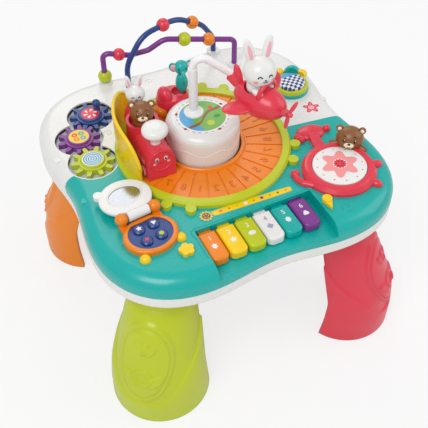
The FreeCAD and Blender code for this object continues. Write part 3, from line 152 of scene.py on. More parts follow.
def plastic(shade, rough=0.26):
    """Glossy moulded plastic with a faint swirl of pigment."""
    key = (shade, rough)
    if key in FINISHES:
        return FINISHES[key]
    material, tree, shader, where = finish_nodes("plastic_" + shade + str(len(FINISHES)))
    base = blend_colour(tree, noise(tree, where, 18.0), linear(shade), linear(shade, 0.90))
    gloss = spread(tree, noise(tree, where, 90.0), rough - 0.05, rough + 0.07)
    tree.links.new(base, shader.inputs["Base Color"])
    tree.links.new(gloss, shader.inputs["Roughness"])
    shader.inputs["Coat Weight"].default_value = 0.12
    shader.inputs["Coat Roughness"].default_value = 0.12
    grain(tree, where, shader)
    FINISHES[key] = material
    return material


def metal(shade, rough=0.3):
    """Plated steel with fine drawn marks."""
    key = ("metal", shade, rough)
    if key in FINISHES:
        return FINISHES[key]
    material, tree, shader, where = finish_nodes("metal_" + shade)
    base = blend_colour(tree, noise(tree, where, 300.0), linear(shade), linear(shade, 0.8))
    gloss = spread(tree, noise(tree, where, 500.0), rough - 0.08, rough + 0.12)
    tree.links.new(base, shader.inputs["Base Color"])
    tree.links.new(gloss, shader.inputs["Roughness"])
    shader.inputs["Metallic"].default_value = 1.0
    grain(tree, where, shader, 2500.0, 0.08)
    FINISHES[key] = material
    return material


def frosted(shade, weight=0.6, rough=0.22):
    """Clear plastic with a milky body."""
    key = ("frosted", shade, weight)
    if key in FINISHES:
        return FINISHES[key]
    material, tree, shader, where = finish_nodes("frosted_" + shade)
    base = blend_colour(tree, noise(tree, where, 60.0), linear(shade), linear(shade, 0.93))
    gloss = spread(tree, noise(tree, where, 150.0), rough, rough + 0.1)
    tree.links.new(base, shader.inputs["Base Color"])
    tree.links.new(gloss, shader.inputs["Roughness"])
    shader.inputs["Transmission Weight"].default_value = weight
    shader.inputs["IOR"].default_value = 1.35
    grain(tree, where, shader, 900.0, 0.03)
    FINISHES[key] = material
    return material


# %% [markdown]
# The finish of each CAD node follows the photograph. Only the material changes:
# the node's mesh and place stay as the CAD says.

# %% Finishes of the nodes
NODE_SHADES = {
    "teal": ["front_cover", "spinner_base", "piano_key_5"],
    "white": ["base_shell", "back_cover", "hill", "piano_key_4", "phone_lid", "battery_door", "chimney",
              "drum_head"],
    "lime": ["leg_front_left", "track_rim", "gear_green", "spinner_rim", "piano_key_3", "bead_green_foot",
             "bead_green_top"],
    "red": ["leg_front_right", "plane_body", "propeller", "locomotive", "drum_ring", "bead_red_ball",
            "bead_red_arch", "wagon"],
    "orange": ["leg_back_left", "track_disc", "phone_frame", "piano_key_1", "bead_orange_top",
               "bead_orange_arch"],
    "purple": ["leg_back_right", "gear_purple", "piano_key_6", "maze_wire_purple"],
    "blue": ["gear_blue", "maze_wire_blue", "phone_pad", "phone_button_1", "phone_button_2", "phone_button_3",
             "phone_button_4", "spinner_disc"],
    "yellow": ["guard_wall", "spinner_ears", "piano_key_2", "indicator_lenses"],
    "brown": ["drum_bear"],
    "grey": ["gear_tray", "carousel_hub"],
    "rubber": ["rubber_domes"],
    "green_board": ["electronics"],
    "black": ["power_slider"],
}


def set_finish(node, material):
    """Puts one material on a CAD node."""
    mesh = nodes[node].data
    mesh.materials.clear()
    mesh.materials.append(material)


for shade, names in NODE_SHADES.items():
    for name in names:
        set_finish(name, plastic(shade))
for name in ("steel_fasteners", "batteries"):
    set_finish(name, metal("steel"))
set_finish("clear_arm", frosted("milk", 0.06))
set_finish("phone_mirror", metal("steel", 0.1))

# %% [markdown]
# Soft toy shapes are worked out on a grid: rows run from pole to pole and columns
# run round. One helper turns such a grid into a closed mesh with welded poles, so
# every animal, leg and rod below is only a formula.


def place_piece(name, mesh, material, body):
    """Links a mesh that already holds its place, and says what it rides on."""
    mesh.materials.append(material)
    piece = bpy.data.objects.new(name, mesh)
    bpy.context.scene.collection.objects.link(piece)
    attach(piece, body)
    return piece


def grid_mesh(name, points, caps=True, smooth=True):
    """A tube-like mesh from points[row, column, xyz], closed round the columns.

    Each cell is one quad. caps adds a middle point at both ends and a fan of triangles.
    """
    rows, columns, _ = points.shape
    flat = points.reshape(-1, 3)
    row, column = np.meshgrid(np.arange(rows - 1), np.arange(columns), indexing="ij")
    after = (column + 1) % columns
    quads = np.stack([row * columns + column, row * columns + after,
                      (row + 1) * columns + after, (row + 1) * columns + column], -1).reshape(-1, 4)
    faces = quads.tolist()
    if caps:
        flat = np.vstack([flat, points[0].mean(0), points[-1].mean(0)])
        low, high = rows * columns, rows * columns + 1
        ring = np.arange(columns)
        turn = (ring + 1) % columns
        faces += np.stack([np.full(columns, low), turn, ring], -1).tolist()
        last = (rows - 1) * columns
        faces += np.stack([np.full(columns, high), last + ring, last + turn], -1).tolist()
    mesh = bpy.data.meshes.new(name)
    mesh.from_pydata(flat.tolist(), [], faces)
    mesh.validate()
    mesh.polygons.foreach_set("use_smooth", np.full(len(mesh.polygons), smooth))
    return mesh


def blob(centre, radii, turn=None, power=1.0, rows=26, columns=36):
    """An egg on a grid: each point is centre + turn(radii * (cos v cos u, cos v sin u, sin v)).

    power under 1 squares the outline off, as on a moulded block with soft edges.
    """
    v = np.linspace(-np.pi / 2 + 0.04, np.pi / 2 - 0.04, rows)[:, None]
    u = np.linspace(0, 2 * np.pi, columns, endpoint=False)[None, :]

    def soft(value):
        return np.sign(value) * np.abs(value) ** power

    shape = np.stack([soft(np.cos(v)) * soft(np.cos(u)), soft(np.cos(v)) * soft(np.sin(u)),
                      soft(np.sin(v)) * np.ones_like(u)], -1) * np.array(radii)
    if turn is not None:
        shape = shape @ np.array(turn).T
    return shape + np.array(centre)


def rotation(axis, degrees):
    """A turn matrix about an axis."""
    return np.array(Matrix.Rotation(math.radians(degrees), 3, Vector(axis)))


def millimetres(*values):
    """Millimetres to metres, as an array."""
    return np.array(values, float) / 1000


def egg_piece(name, centre, radii, material, body, turn=None, power=1.0):
    """An egg shaped piece, sizes in millimetres."""
    points = blob(millimetres(*centre), millimetres(*radii), turn, power)
    return place_piece(name, grid_mesh(name, points), material, body)


def tube_mesh(name, path, radius, columns=20):
    """A round bar along a path: rings of radius in the plane across each step."""
    path = np.asarray(path, float)
    way = np.gradient(path, axis=0)
    way /= np.linalg.norm(way, axis=1, keepdims=True)
    side = np.cross(way, np.where(np.abs(way[:, 2:]) > 0.9, [[1.0, 0, 0]], [[0, 0, 1.0]]))
    side /= np.linalg.norm(side, axis=1, keepdims=True)
    for n in range(1, len(side)):
        carried = side[n - 1] - way[n] * side[n - 1].dot(way[n])
        side[n] = carried / np.linalg.norm(carried)
    over = np.cross(way, side)
    u = np.linspace(0, 2 * np.pi, columns, endpoint=False)
    reach = np.broadcast_to(np.asarray(radius, float), (len(path),))[:, None, None]
    across = side[:, None] * np.cos(u)[None, :, None] + over[:, None] * np.sin(u)[None, :, None]
    return grid_mesh(name, path[:, None] + reach * across)


def smooth_path(corners, count=60):
    """A smooth run through corners in millimetres: cubic blends between them (Catmull and Rom)."""
    corners = np.asarray(corners, float) / 1000
    ends = np.vstack([2 * corners[0] - corners[1], corners, 2 * corners[-1] - corners[-2]])
    share = np.linspace(0, len(corners) - 1 - 1e-9, count)
    n = share.astype(int)
    t = (share - n)[:, None]
    a, b, c, d = ends[n], ends[n + 1], ends[n + 2], ends[n + 3]
    bend = (2 * a - 5 * b + 4 * c - d) * t ** 2
    return 0.5 * (2 * b + (c - a) * t + bend + (3 * b - a - 3 * c + d) * t ** 3)


print("helpers ready")

# %% [markdown]
# The four legs are bowed half cones, open towards the middle. A leg's plan is an
# arc whose centre, radius and width change with height. The boot at the bottom, the
# raised egg shaped panel and its leaf motif are heights added to the arc's radius,
# so all of it is one skin, which Solidify could not do on the CAD leg.

# %% Legs
LEG_HEIGHTS = np.array([0, 35, 70, 150, 216.0])
LEG_REACH = np.array([212, 214, 213, 193, 170.0])
LEG_RADIUS = np.array([68, 66.5, 63.5, 51.2, 34.4])
LEG_HALF_ANGLE = np.array([108, 106, 104, 107, 110.0])
LEG_WALL = 4.0


def bump_edge(distance, width):
    """1 inside (negative distance), 0 outside, with a rounded step of that width."""
    return 0.5 - 0.5 * np.tanh(distance / width)


def leg_relief(across, height):
    """Raised millimetres on the outer face, from the distance across (mm) and the height (mm)."""
    boot_top = 38 + 5.0 * np.cos(across / 9.5) + 0.010 * across ** 2
    boot = 3.0 * bump_edge(height - boot_top, 1.4)
    half = 37 + 5.5 * np.sin((height - 60) / 60)
    oval = np.sqrt((across / half) ** 2 + ((height - 104) / 58) ** 2) - 1
    panel = 3.4 * bump_edge(oval * 40, 1.0)
    panel = np.where(height > boot_top - 2, panel, 0)
    rim = -2.2 * np.exp(-((oval * 40 + 5) / 1.4) ** 2)
    motif = np.zeros_like(across)
    for angle in (-38, 0, 38):
        tip = math.radians(angle)
        x, y = across - 13 * math.sin(tip), height - (118 + 13 * math.cos(tip))
        long_way = x * math.sin(tip) + y * math.cos(tip)
        side_way = x * math.cos(tip) - y * math.sin(tip)
        motif += 1.7 * bump_edge((np.sqrt((long_way / 9) ** 2 + (side_way / 4.6) ** 2) - 1) * 6, 0.8)
    for side in (-1, 1):
        x, y = across - side * 17, height - 84
        lean = x * 0.8 + side * y * 0.6
        rise = y * 0.8 - side * x * 0.6
        motif += 1.8 * bump_edge((np.sqrt((lean / 13) ** 2 + (rise / 6.5) ** 2) - 1) * 8, 0.9)
    ring = np.abs(np.sqrt((across / 1.15) ** 2 + (height - 88) ** 2) - 9)
    motif += 1.6 * bump_edge((ring - 2.4) * 1.4, 0.7)
    return boot + np.where(oval < 0, panel + rim + 1.4 * motif, panel)


def leg_piece(name, angle, shade):
    """One skin: the outer arc with its relief, then back along the inner arc, closed at top and bottom."""
    heights = np.concatenate([np.linspace(0, 175, 150), np.linspace(176, 215.9, 14)])
    reach = np.interp(heights, LEG_HEIGHTS, LEG_REACH)[:, None]
    radius = np.interp(heights, LEG_HEIGHTS, LEG_RADIUS)[:, None]
    kernel = np.ones(17) / 17
    pad = 8
    radius = np.convolve(np.pad(radius[:, 0], pad, mode="edge"), kernel, "valid")[:, None]
    reach = np.convolve(np.pad(reach[:, 0], pad, mode="edge"), kernel, "valid")[:, None]
    half_angle = np.radians(np.interp(heights, LEG_HEIGHTS, LEG_HALF_ANGLE))[:, None]
    around = np.linspace(-1, 1, 150)[None, :]
    turn = around * half_angle
    lifted = radius - 3.2 + leg_relief(radius * turn, heights[:, None] + 0 * around)
    level = heights[:, None]
    outer = np.stack([reach + lifted * np.cos(turn), lifted * np.sin(turn), level + 0 * turn], -1)
    inward = turn[:, ::-3]
    hollow = radius - 3.2 - LEG_WALL
    inner = np.stack([reach + hollow * np.cos(inward), hollow * np.sin(inward), level + 0 * inward], -1)
    points = np.concatenate([outer, inner], 1) / 1000
    count = points.shape[1]
    mesh = grid_mesh(name, points @ rotation((0, 0, 1), angle).T, caps=False)
    outer_count, inner_count = outer.shape[1], inner.shape[1]
    faces = []
    for base, flip in ((0, True), ((len(heights) - 1) * count, False)):
        for n in range(inner_count - 1):
            a, b = outer_count - 1 - 3 * n, max(outer_count - 1 - 3 * (n + 1), 0)
            ring = list(range(b, a + 1)) + [outer_count + n, outer_count + n + 1]
            faces.append([base + k for k in (ring[::-1] if flip else ring)])
    shape = [vertex.co[:] for vertex in mesh.vertices]
    quads = [list(polygon.vertices) for polygon in mesh.polygons]
    closed = bpy.data.meshes.new(name)
    closed.from_pydata(shape, [], quads + faces)
    closed.validate()
    ends = len(closed.polygons) - len(quads)
    closed.polygons.foreach_set("use_smooth", [True] * len(quads) + [False] * ends)
    bpy.data.meshes.remove(mesh)
    node = "leg_" + name
    closed.name = name + "_leg_skin"
    piece = place_piece(name + "_leg", closed, plastic(shade, 0.34), "table")
    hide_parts(node)
    return piece


for corner, angle, shade in (("front_left", 225, "lime"), ("front_right", 315, "red"),
                             ("back_left", 135, "orange"), ("back_right", 45, "purple")):
    print(leg_piece(corner, angle, shade).name, len(bpy.data.objects[corner + "_leg"].data.polygons), "faces")

# %% [markdown]
# The animals are eggs of different sizes that run into each other, as on the
# moulded figures. Faces are small flat dark eggs and bars on the head's skin, at a
# point where a look direction leaves it, so they sit on the skin at any size.

# %% Figures
WHITE = plastic("white", 0.32)
BROWN = plastic("brown", 0.34)
TEAL = plastic("teal", 0.3)
PINK = plastic("pink", 0.4)
BLACK = plastic("black", 0.3)
CREAM = plastic("cream", 0.34)
CHEEK = plastic("cheek", 0.4)


def heading_frame(heading, pitch=0.0):
    """Columns are forward, left and up of a figure that looks along heading (degrees)."""
    return rotation((0, 0, 1), heading) @ rotation((0, 1, 0), pitch)


def on_skin(centre, radii, axes, side, lift, out=0.2):
    """The point of an egg's skin seen at side and lift degrees from straight ahead, and the way out there."""
    a, b = math.radians(side), math.radians(lift)
    ray = np.array([math.cos(b) * math.cos(a), math.cos(b) * math.sin(a), math.sin(b)])
    radii = np.array(radii, float)
    reach = 1 / np.sqrt(((ray / radii) ** 2).sum())
    normal = ray * reach / radii ** 2
    normal /= np.linalg.norm(normal)
    return np.array(centre) + axes @ (ray * reach + normal * out), axes @ normal


def face_dot(name, centre, radii, axes, side, lift, half, material, body, out=0.0):
    """A thin egg that lies on a head's skin: half is its half width and half height."""
    spot, normal = on_skin(centre, radii, axes, side, lift, out)
    up = axes[:, 2] - normal * axes[:, 2].dot(normal)
    up /= np.linalg.norm(up)
    across = np.cross(up, normal)
    turn = np.stack([across, up, normal], 1)
    return egg_piece(name, spot, (half[0], half[1], 0.5), material, body, turn)


def smile(name, centre, radii, axes, side, lift, width, sag, material, body, thick=0.55):
    """A curved bar on the skin: sag above 0 smiles, below 0 is a closed happy eye."""
    share = np.linspace(-1, 1, 13)
    points = [on_skin(centre, radii, axes, side + width * s, lift - sag * (1 - s * s), 0.1)[0] for s in share]
    mesh = tube_mesh(name, np.array(points) / 1000, np.full(13, thick / 1000), 8)
    return place_piece(name, mesh, material, body)


def rabbit_head(name, centre, radii, heading, body, ear, pitch=0):
    """A white head with closed eyes, pink cheeks and two tall ears with pink inner sides."""
    axes = heading_frame(heading, pitch)
    egg_piece(name + "_head", centre, radii, WHITE, body, axes)
    size = radii[0] / 20
    for side in (-1, 1):
        tag = name + ("_left" if side > 0 else "_right")
        smile(tag + "_eye", centre, radii, axes, side * 20, 0, 8, -6, BLACK, body, 0.6 * size + 0.15)
        face_dot(tag + "_cheek", centre, radii, axes, side * 36, -16, (3.0 * size, 2.0 * size), CHEEK,
                 body)
        lean = rotation(axes[:, 0], -side * 13) @ axes
        root = np.array(centre) + axes @ np.array([-radii[0] * 0.15, side * radii[1] * 0.45, radii[2] * 0.8])
        middle = root + lean @ np.array([0, 0, ear[2] * 0.72])
        egg_piece(tag + "_ear", middle, ear, WHITE, body, lean)
        inner = middle + lean @ np.array([ear[0] * 0.42, 0, -ear[2] * 0.04])
        egg_piece(tag + "_ear_lining", inner, (ear[0] * 0.66, ear[1] * 0.62, ear[2] * 0.78), PINK, body,
                  lean)
    face_dot(name + "_nose", centre, radii, axes, 0, -10, (1.5 * size, 1.0 * size), BLACK, body)
    for side in (-1, 1):
        smile(name + "_mouth" + str(side + 1), centre, radii, axes, side * 4, -15, 4, 5, BLACK, body,
              0.4 * size + 0.1)


def bear_head(name, centre, radii, heading, body, pitch=0):
    """A brown head with a cream muzzle, round eyes, brows and round ears."""
    axes = heading_frame(heading, pitch)
    egg_piece(name + "_head", centre, radii, BROWN, body, axes)
    size = radii[0] / 15
    for side in (-1, 1):
        tag = name + ("_left" if side > 0 else "_right")
        face_dot(tag + "_eye", centre, radii, axes, side * 25, 8, (1.5 * size, 2.2 * size), BLACK, body)
        face_dot(tag + "_glint", centre, radii, axes, side * 25 + 2, 12, (0.6 * size, 0.7 * size), WHITE,
                 body, 0.45)
        smile(tag + "_brow", centre, radii, axes, side * 26, 26, 7, -4, BLACK, body, 0.45 * size)
        root = np.array(centre) + axes @ np.array([-radii[0] * 0.1, side * radii[1] * 0.8, radii[2] * 0.72])
        egg_piece(tag + "_ear", root, (3.0 * size, 4.6 * size, 4.6 * size), BROWN, body, axes)
        lining = root + axes @ np.array([1.6 * size, 0, 0])
        egg_piece(tag + "_ear_lining", lining, (1.8 * size, 2.9 * size, 2.9 * size), CREAM, body, axes)
    muzzle, _ = on_skin(centre, radii, axes, 0, -16, -3.0 * size)
    muzzle_radii = (5.2 * size, 6.6 * size, 4.8 * size)
    egg_piece(name + "_muzzle", muzzle, muzzle_radii, CREAM, body, axes)
    nose = muzzle + axes @ np.array([4.9 * size, 0, 2.4 * size])
    egg_piece(name + "_nose", nose, (1.1 * size, 2.0 * size, 1.3 * size), BLACK, body, axes)
    smile(name + "_mouth", muzzle, muzzle_radii, axes, 0, -14, 22, 14, BLACK, body, 0.4 * size)


# %% [markdown]
# The pilot sits in the plane's cockpit with both arms on its edge.

# %% Pilot
PLANE_MIDDLE = np.array([43.4, -51.6, 360.0])
PLANE_HEADING = -66.0
plane_axes = heading_frame(PLANE_HEADING)


def plane_point(*local):
    """A point in the plane's own frame, in the table's frame, millimetres."""
    return PLANE_MIDDLE + plane_axes @ np.array(local, float)


pilot = egg_piece("pilot_body", plane_point(-7, 0, 19.2), (12, 12.5, 13), WHITE, "carousel",
                  plane_axes)
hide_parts("pilot_rabbit")
rabbit_head("pilot", plane_point(-3, 0, 42), (19.5, 20.5, 19), PLANE_HEADING - 30, "carousel",
            (4, 6.2, 16.5), -8)
for side in (-1, 1):
    tag = "pilot_arm_" + ("left" if side > 0 else "right")
    egg_piece(tag, plane_point(4, side * 12, 20), (7.5, 4.6, 4.4), WHITE, "carousel",
              heading_frame(PLANE_HEADING - side * 20, 20))
print("pilot at", plane_point(-3, 0, 42))

# %% [markdown]
# The train's passengers: a bear drives, a rabbit rides behind and a small teal
# elephant sits in the wagon.

# %% Train passengers
driver = egg_piece("driver_body", (-84.6, 25.4, 316), (12.5, 12.5, 12.5), BROWN, "carousel")
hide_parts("train_figures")
bear_head("driver", (-84.6, 24, 331), (15.2, 15.5, 14.5), -108, "carousel", -14)
egg_piece("driver_scarf", (-84.6, 24.4, 318.5), (11.2, 11.2, 3.2), CREAM, "carousel")
egg_piece("passenger_body", (-81.6, 54.4, 320), (9.5, 9.5, 15), WHITE, "carousel")
rabbit_head("passenger", (-81.6, 53.5, 338), (12.6, 12.6, 11.6), -104, "carousel", (3, 3.6, 10), -10)
ELEPHANT = np.array([-4.2, 81.2, 0.0])
elephant_axes = heading_frame(-100)
egg_piece("elephant_body", ELEPHANT + (0, 0, 312), (8.6, 8.6, 16), TEAL, "carousel")
ELEPHANT_HEAD = ELEPHANT + (0, 0, 337)
HEAD_RADII = (9.6, 9.2, 10)
TRUNK_POINTS = ((8, 0, 336), (13, 0, 331), (14, 0, 324), (12, 0, 319))
egg_piece("elephant_head", ELEPHANT_HEAD, HEAD_RADII, TEAL, "carousel")
trunk = smooth_path([ELEPHANT + elephant_axes @ np.array(point) for point in TRUNK_POINTS], 24)
trunk_mesh = tube_mesh("elephant_trunk", trunk, np.linspace(3.2, 2.2, 24) / 1000, 14)
place_piece("elephant_trunk", trunk_mesh, TEAL, "carousel")
for side in (-1, 1):
    tag = "elephant_ear_" + ("left" if side > 0 else "right")
    ear = ELEPHANT + elephant_axes @ np.array([-1.5, side * 10.5, 338])
    lining = ear + elephant_axes @ np.array([1.5, 0, 0])
    ear_axes = elephant_axes @ rotation((0, 0, 1), side * 25)
    egg_piece(tag, ear, (2.2, 6.2, 7.2), TEAL, "carousel", ear_axes)
    egg_piece(tag + "_lining", lining, (1.6, 4.4, 5.2), PINK, "carousel", ear_axes)
    face_dot("elephant_eye_" + str(side + 1), ELEPHANT_HEAD, HEAD_RADII, elephant_axes, side * 32, 12,
             (1.0, 1.4), BLACK, "carousel")

# %% [markdown]
# The bear leans over the drum's edge with both arms on the deck.

# %% Drum bear
BEAR = np.array([163.0, -87.0, 281.0])
bear_head("drummer", BEAR, (16.5, 18.5, 16.0), -128, "table", -12)
for tag, path in (("left", ((168, -92, 270), (174, -99, 268), (178, -106, 266.5))),
                  ("right", ((157, -81, 270), (149, -75, 268), (142, -71, 267)))):
    mesh = tube_mesh("drummer_arm_" + tag, smooth_path(path, 20), np.linspace(5.0, 4.2, 20) / 1000, 18)
    place_piece("drummer_arm_" + tag, mesh, BROWN, "table")
body = egg_piece("drummer_body", (166, -84, 268), (11, 11, 6), BROWN, "table")
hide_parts("drum_bear")

# %% [markdown]
# Printed labels could be image files, but a formula is sharper and needs no file.
# Each label is a fine round grid, and its colours are worked out per point and kept
# in the mesh's own attribute, so the print can't slide off its piece.

# %% Printed discs
def printed_finish():
    """Glossy label stock that takes its colour from the attribute called print."""
    if "printed" in FINISHES:
        return FINISHES["printed"]
    material, tree, shader, where = finish_nodes("printed_label")
    ink = tree.nodes.new("ShaderNodeAttribute")
    ink.attribute_name = "print"
    faded = tree.nodes.new("ShaderNodeMix")
    faded.data_type = "RGBA"
    faded.blend_type = "MULTIPLY"
    faded.inputs[0].default_value = 0.12
    tree.links.new(ink.outputs["Color"], faded.inputs[6])
    dust = blend_colour(tree, noise(tree, where, 400.0), linear("white"), linear("grey"))
    tree.links.new(dust, faded.inputs[7])
    tree.links.new(faded.outputs[2], shader.inputs["Base Color"])
    tree.links.new(spread(tree, noise(tree, where, 120.0), 0.24, 0.36), shader.inputs["Roughness"])
    grain(tree, where, shader, 1100.0, 0.03)
    FINISHES["printed"] = material
    return material


def printed_disc(name, centre, radius, low, rise, colour_at, body, rows=60, columns=180):
    """A round plate whose top is low plus rise(r / radius), coloured by colour_at(x, y, r, angle)."""
    u = np.linspace(0, 2 * np.pi, columns, endpoint=False)
    inward = np.linspace(1, 0.01, rows)
    reach = np.concatenate([[0.02, 0.98, 1.0], inward]) * radius
    level = np.concatenate([[low, low, low + 0.05], low + rise(inward)])
    x = reach[:, None] * np.cos(u)
    y = reach[:, None] * np.sin(u)
    points = np.stack([x + centre[0], y + centre[1], level[:, None] + 0 * x], -1) / 1000
    mesh = grid_mesh(name, points)
    local = np.array([vertex.co[:] for vertex in mesh.vertices]) * 1000 - np.array([centre[0], centre[1], 0])
    across, along = local[:, 0], local[:, 1]
    screen = colour_at(across, along, np.hypot(across, along), np.arctan2(along, across))
    light = np.where(screen <= 0.04045, screen / 12.92, ((screen + 0.055) / 1.055) ** 2.4)
    layer = mesh.attributes.new("print", "FLOAT_COLOR", "POINT")
    layer.data.foreach_set("color", np.column_stack([light, np.ones(len(light))]).ravel())
    return place_piece(name, mesh, printed_finish(), body)


def filled(shade, count):
    """One screen colour for every point."""
    return np.tile(np.array(SHADES[shade], float), (count, 1))


def ink_over(colours, mask, shade):
    """Lays a shade where mask holds."""
    colours[mask] = SHADES[shade]
    return colours


def spots(x, y, count, reach, half, turn=0.0):
    """True inside count round spots, evenly spaced on a circle."""
    hit = np.zeros(len(x), bool)
    for angle in np.radians(turn) + np.arange(count) * 2 * np.pi / count:
        hit |= np.hypot(x - reach * np.cos(angle), y - reach * np.sin(angle)) < half
    return hit


def hill_print(x, y, r, angle):
    """A meadow with a pond, a path and hedges, in a ring of grey dashes."""
    colours = filled("white", len(x))
    inside = r < 30.5
    ink_over(colours, inside, "grass")
    ink_over(colours, inside & (x < -13 + 4 * np.sin(y / 5)), "sky")
    ink_over(colours, inside & (np.abs(y + 4 - 0.55 * x - 3 * np.sin(x / 6)) < 2.4), "brown")
    ink_over(colours, inside & (np.hypot(x - 4, y + 17) < 5), "lime")
    ink_over(colours, inside & (np.hypot(x - 16, y - 12) < 3.4), "red")
    ink_over(colours, inside & (np.hypot((x - 17) / 1.5, y + 8) < 3.2), "leaf_green")
    ink_over(colours, inside & (np.hypot((x + 2) / 1.7, y - 17) < 3.6), "leaf_green")
    dashes = (np.abs(r - DASH_REACH) < 0.7) & (np.mod(angle * 26 / (2 * np.pi), 1) < 0.52)
    return ink_over(colours, dashes, "dash")


def blue_gear_print(x, y, r, angle):
    """White drops on red."""
    colours = ink_over(filled("red", len(x)), r > 12.6, "blue")
    ink_over(colours, spots(x, y, 6, 7.8, 1.9), "white")
    return ink_over(colours, spots(x, y, 6, 5.2, 1.1, 12), "white")


def purple_gear_print(x, y, r, angle):
    """Four spots on yellow."""
    colours = ink_over(filled("yellow", len(x)), r > 13.2, "cream")
    for n, shade in enumerate(("teal", "red", "orange", "sky")):
        ink_over(colours, spots(x, y, 1, 6.6, 4.0, 45 + 90 * n), shade)
        ink_over(colours, spots(x, y, 1, 6.6, 1.6, 45 + 90 * n), "yellow")
    return colours


def green_gear_print(x, y, r, angle):
    """Blue rings on white."""
    colours = filled("white", len(x))
    return ink_over(colours, np.mod(r / 3.1, 1) > 0.42, "sky")


def drum_print(x, y, r, angle):
    """A pink flower with a red heart and dark seeds."""
    colours = filled("white", len(x))
    petals = r < 21 + 4.5 * np.cos(6 * angle)
    ink_over(colours, petals & (r > 9), "blush")
    ink_over(colours, (r < 8.2 + 0.8 * np.cos(12 * angle)), "red")
    ink_over(colours, spots(x, y, 6, 4.6, 0.9, 30), "black")
    return ink_over(colours, spots(x, y, 12, 30, 1.0, 15), "red")


def spinner_print(x, y, r, angle):
    """Navy and white checks with a pale blue segment."""
    checks = (np.floor(x / 4.4) + np.floor(y / 4.4)) % 2 == 0
    colours = ink_over(filled("blue", len(x)), checks, "white")
    return ink_over(colours, (y > 8.5) & (r < 19), "sky")


def sunny_print(x, y, r, angle):
    """Yellow petals about a brown middle."""
    colours = ink_over(filled("yellow", len(x)), r > 7.4 + 1.4 * np.cos(11 * angle), "teal")
    ink_over(colours, r < 5.4, "brown")
    return ink_over(colours, spots(x, y, 5, 3.0, 0.7), "cream")


def flower_print(x, y, r, angle):
    """Red petals with a pink middle."""
    colours = ink_over(filled("white", len(x)), r < 9.5 + 2.8 * np.cos(5 * angle), "red")
    ink_over(colours, r < 4.8, "pink")
    return ink_over(colours, spots(x, y, 5, 7.6, 1.1), "pink")


GEAR_TOP = 266.6
RING_MIDDLE = (-9.6, 3.4)
HILL_TOP = 313.0
HILL_RADIUS = 49.0
DASH_REACH = 34.2
DECK_TOP = 262.0
SUNK = 0.1
GEAR_LABELS = (("blue", (-125.0, 127.7), blue_gear_print), ("purple", (-155.4, 88.0), purple_gear_print),
               ("green", (-153.7, 38.0), green_gear_print))


def outward_at(degrees):
    """A flat unit vector at an angle round the table's upright axis."""
    return np.array([math.cos(math.radians(degrees)), math.sin(math.radians(degrees)), 0])


printed_disc("hill_label", RING_MIDDLE, 36.6, HILL_TOP - SUNK, lambda s: 0.35 + 0 * s, hill_print,
             "carousel", 110, 260)
for colour, middle, artwork in GEAR_LABELS:
    printed_disc("gear_label_" + colour, middle, 13.6, GEAR_TOP - SUNK, lambda s: 0.4 + 0 * s, artwork,
                 "gear_" + colour)
drum_skin = printed_disc("drum_skin", (128.3, -119.0), 35.3, 267.0,
                         lambda s: 4.6 + 3.6 * np.sqrt(1 - 0.98 * s ** 2), drum_print, "drum_head",
                         90, 200)
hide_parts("drum_head")
spinner_top = printed_disc("spinner_top", (157.9, 58.8), 19.4, 268.8, lambda s: 7.4 + 2.5 * (1 - s ** 4),
                           spinner_print, "spinner", 90, 220)
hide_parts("spinner_disc")
printed_disc("sunny_label", (-62.0, -117.0), 9.0, DECK_TOP - SUNK, lambda s: 0.8 + 0 * s, sunny_print,
             "table")
printed_disc("flower_label", (163.0, 9.0), 12.4, DECK_TOP - SUNK, lambda s: 0.35 + 0 * s, flower_print,
             "table")
for n, angle in enumerate((150, 205, 20, -75)):
    spot = np.array([*RING_MIDDLE, HILL_TOP]) + DASH_REACH * outward_at(angle)
    egg_piece("hill_berry_" + str(n + 1), spot, (2.6, 2.0, 0.9), plastic("berry", 0.3), "carousel",
              rotation((0, 0, 1), angle + 90))
print("labels made")

# %% [markdown]
# Badges are thin plates with a bevelled top edge. One outline formula gives discs,
# stars, petals and bars: a swelling circle whose cosine and sine may be squared off.
# Figures come from the text tool, made a mesh before they are placed.

# %% Badges and figures
def badge_outline(length, width, turn=0.0, arms=0, depth=0.0, power=1.0, count=72):
    """Points (length * k * soft(cos u), width * k * soft(sin u)), where k swells with the arms.

    k = (1 + depth * cos(arms * u)) / (1 + depth), and soft raises the size of a value to power.
    """
    u = np.linspace(0, 2 * np.pi, count, endpoint=False)
    swell = (1 + depth * np.cos(arms * u)) / (1 + depth)
    x = length * swell * np.sign(np.cos(u)) * np.abs(np.cos(u)) ** power
    y = width * swell * np.sign(np.sin(u)) * np.abs(np.sin(u)) ** power
    return np.stack([x, y], -1) @ rotation((0, 0, 1), turn)[:2, :2].T


FLAT = np.eye(3)


def badge(name, origin, outline, shade, body, thick=0.5, axes=FLAT, rough=0.3):
    """A plate on a face: outline at its foot and again near its top, then drawn in a little."""
    layers = ((1.0, -0.1), (1.0, thick * 0.6), (0.94, thick))
    count = len(outline)
    local = np.stack([np.column_stack([outline * share, np.full(count, height)]) for share, height in layers])
    points = (local @ np.asarray(axes).T + np.array(origin)) / 1000
    return place_piece(name, grid_mesh(name, points, smooth=False), plastic(shade, rough), body)


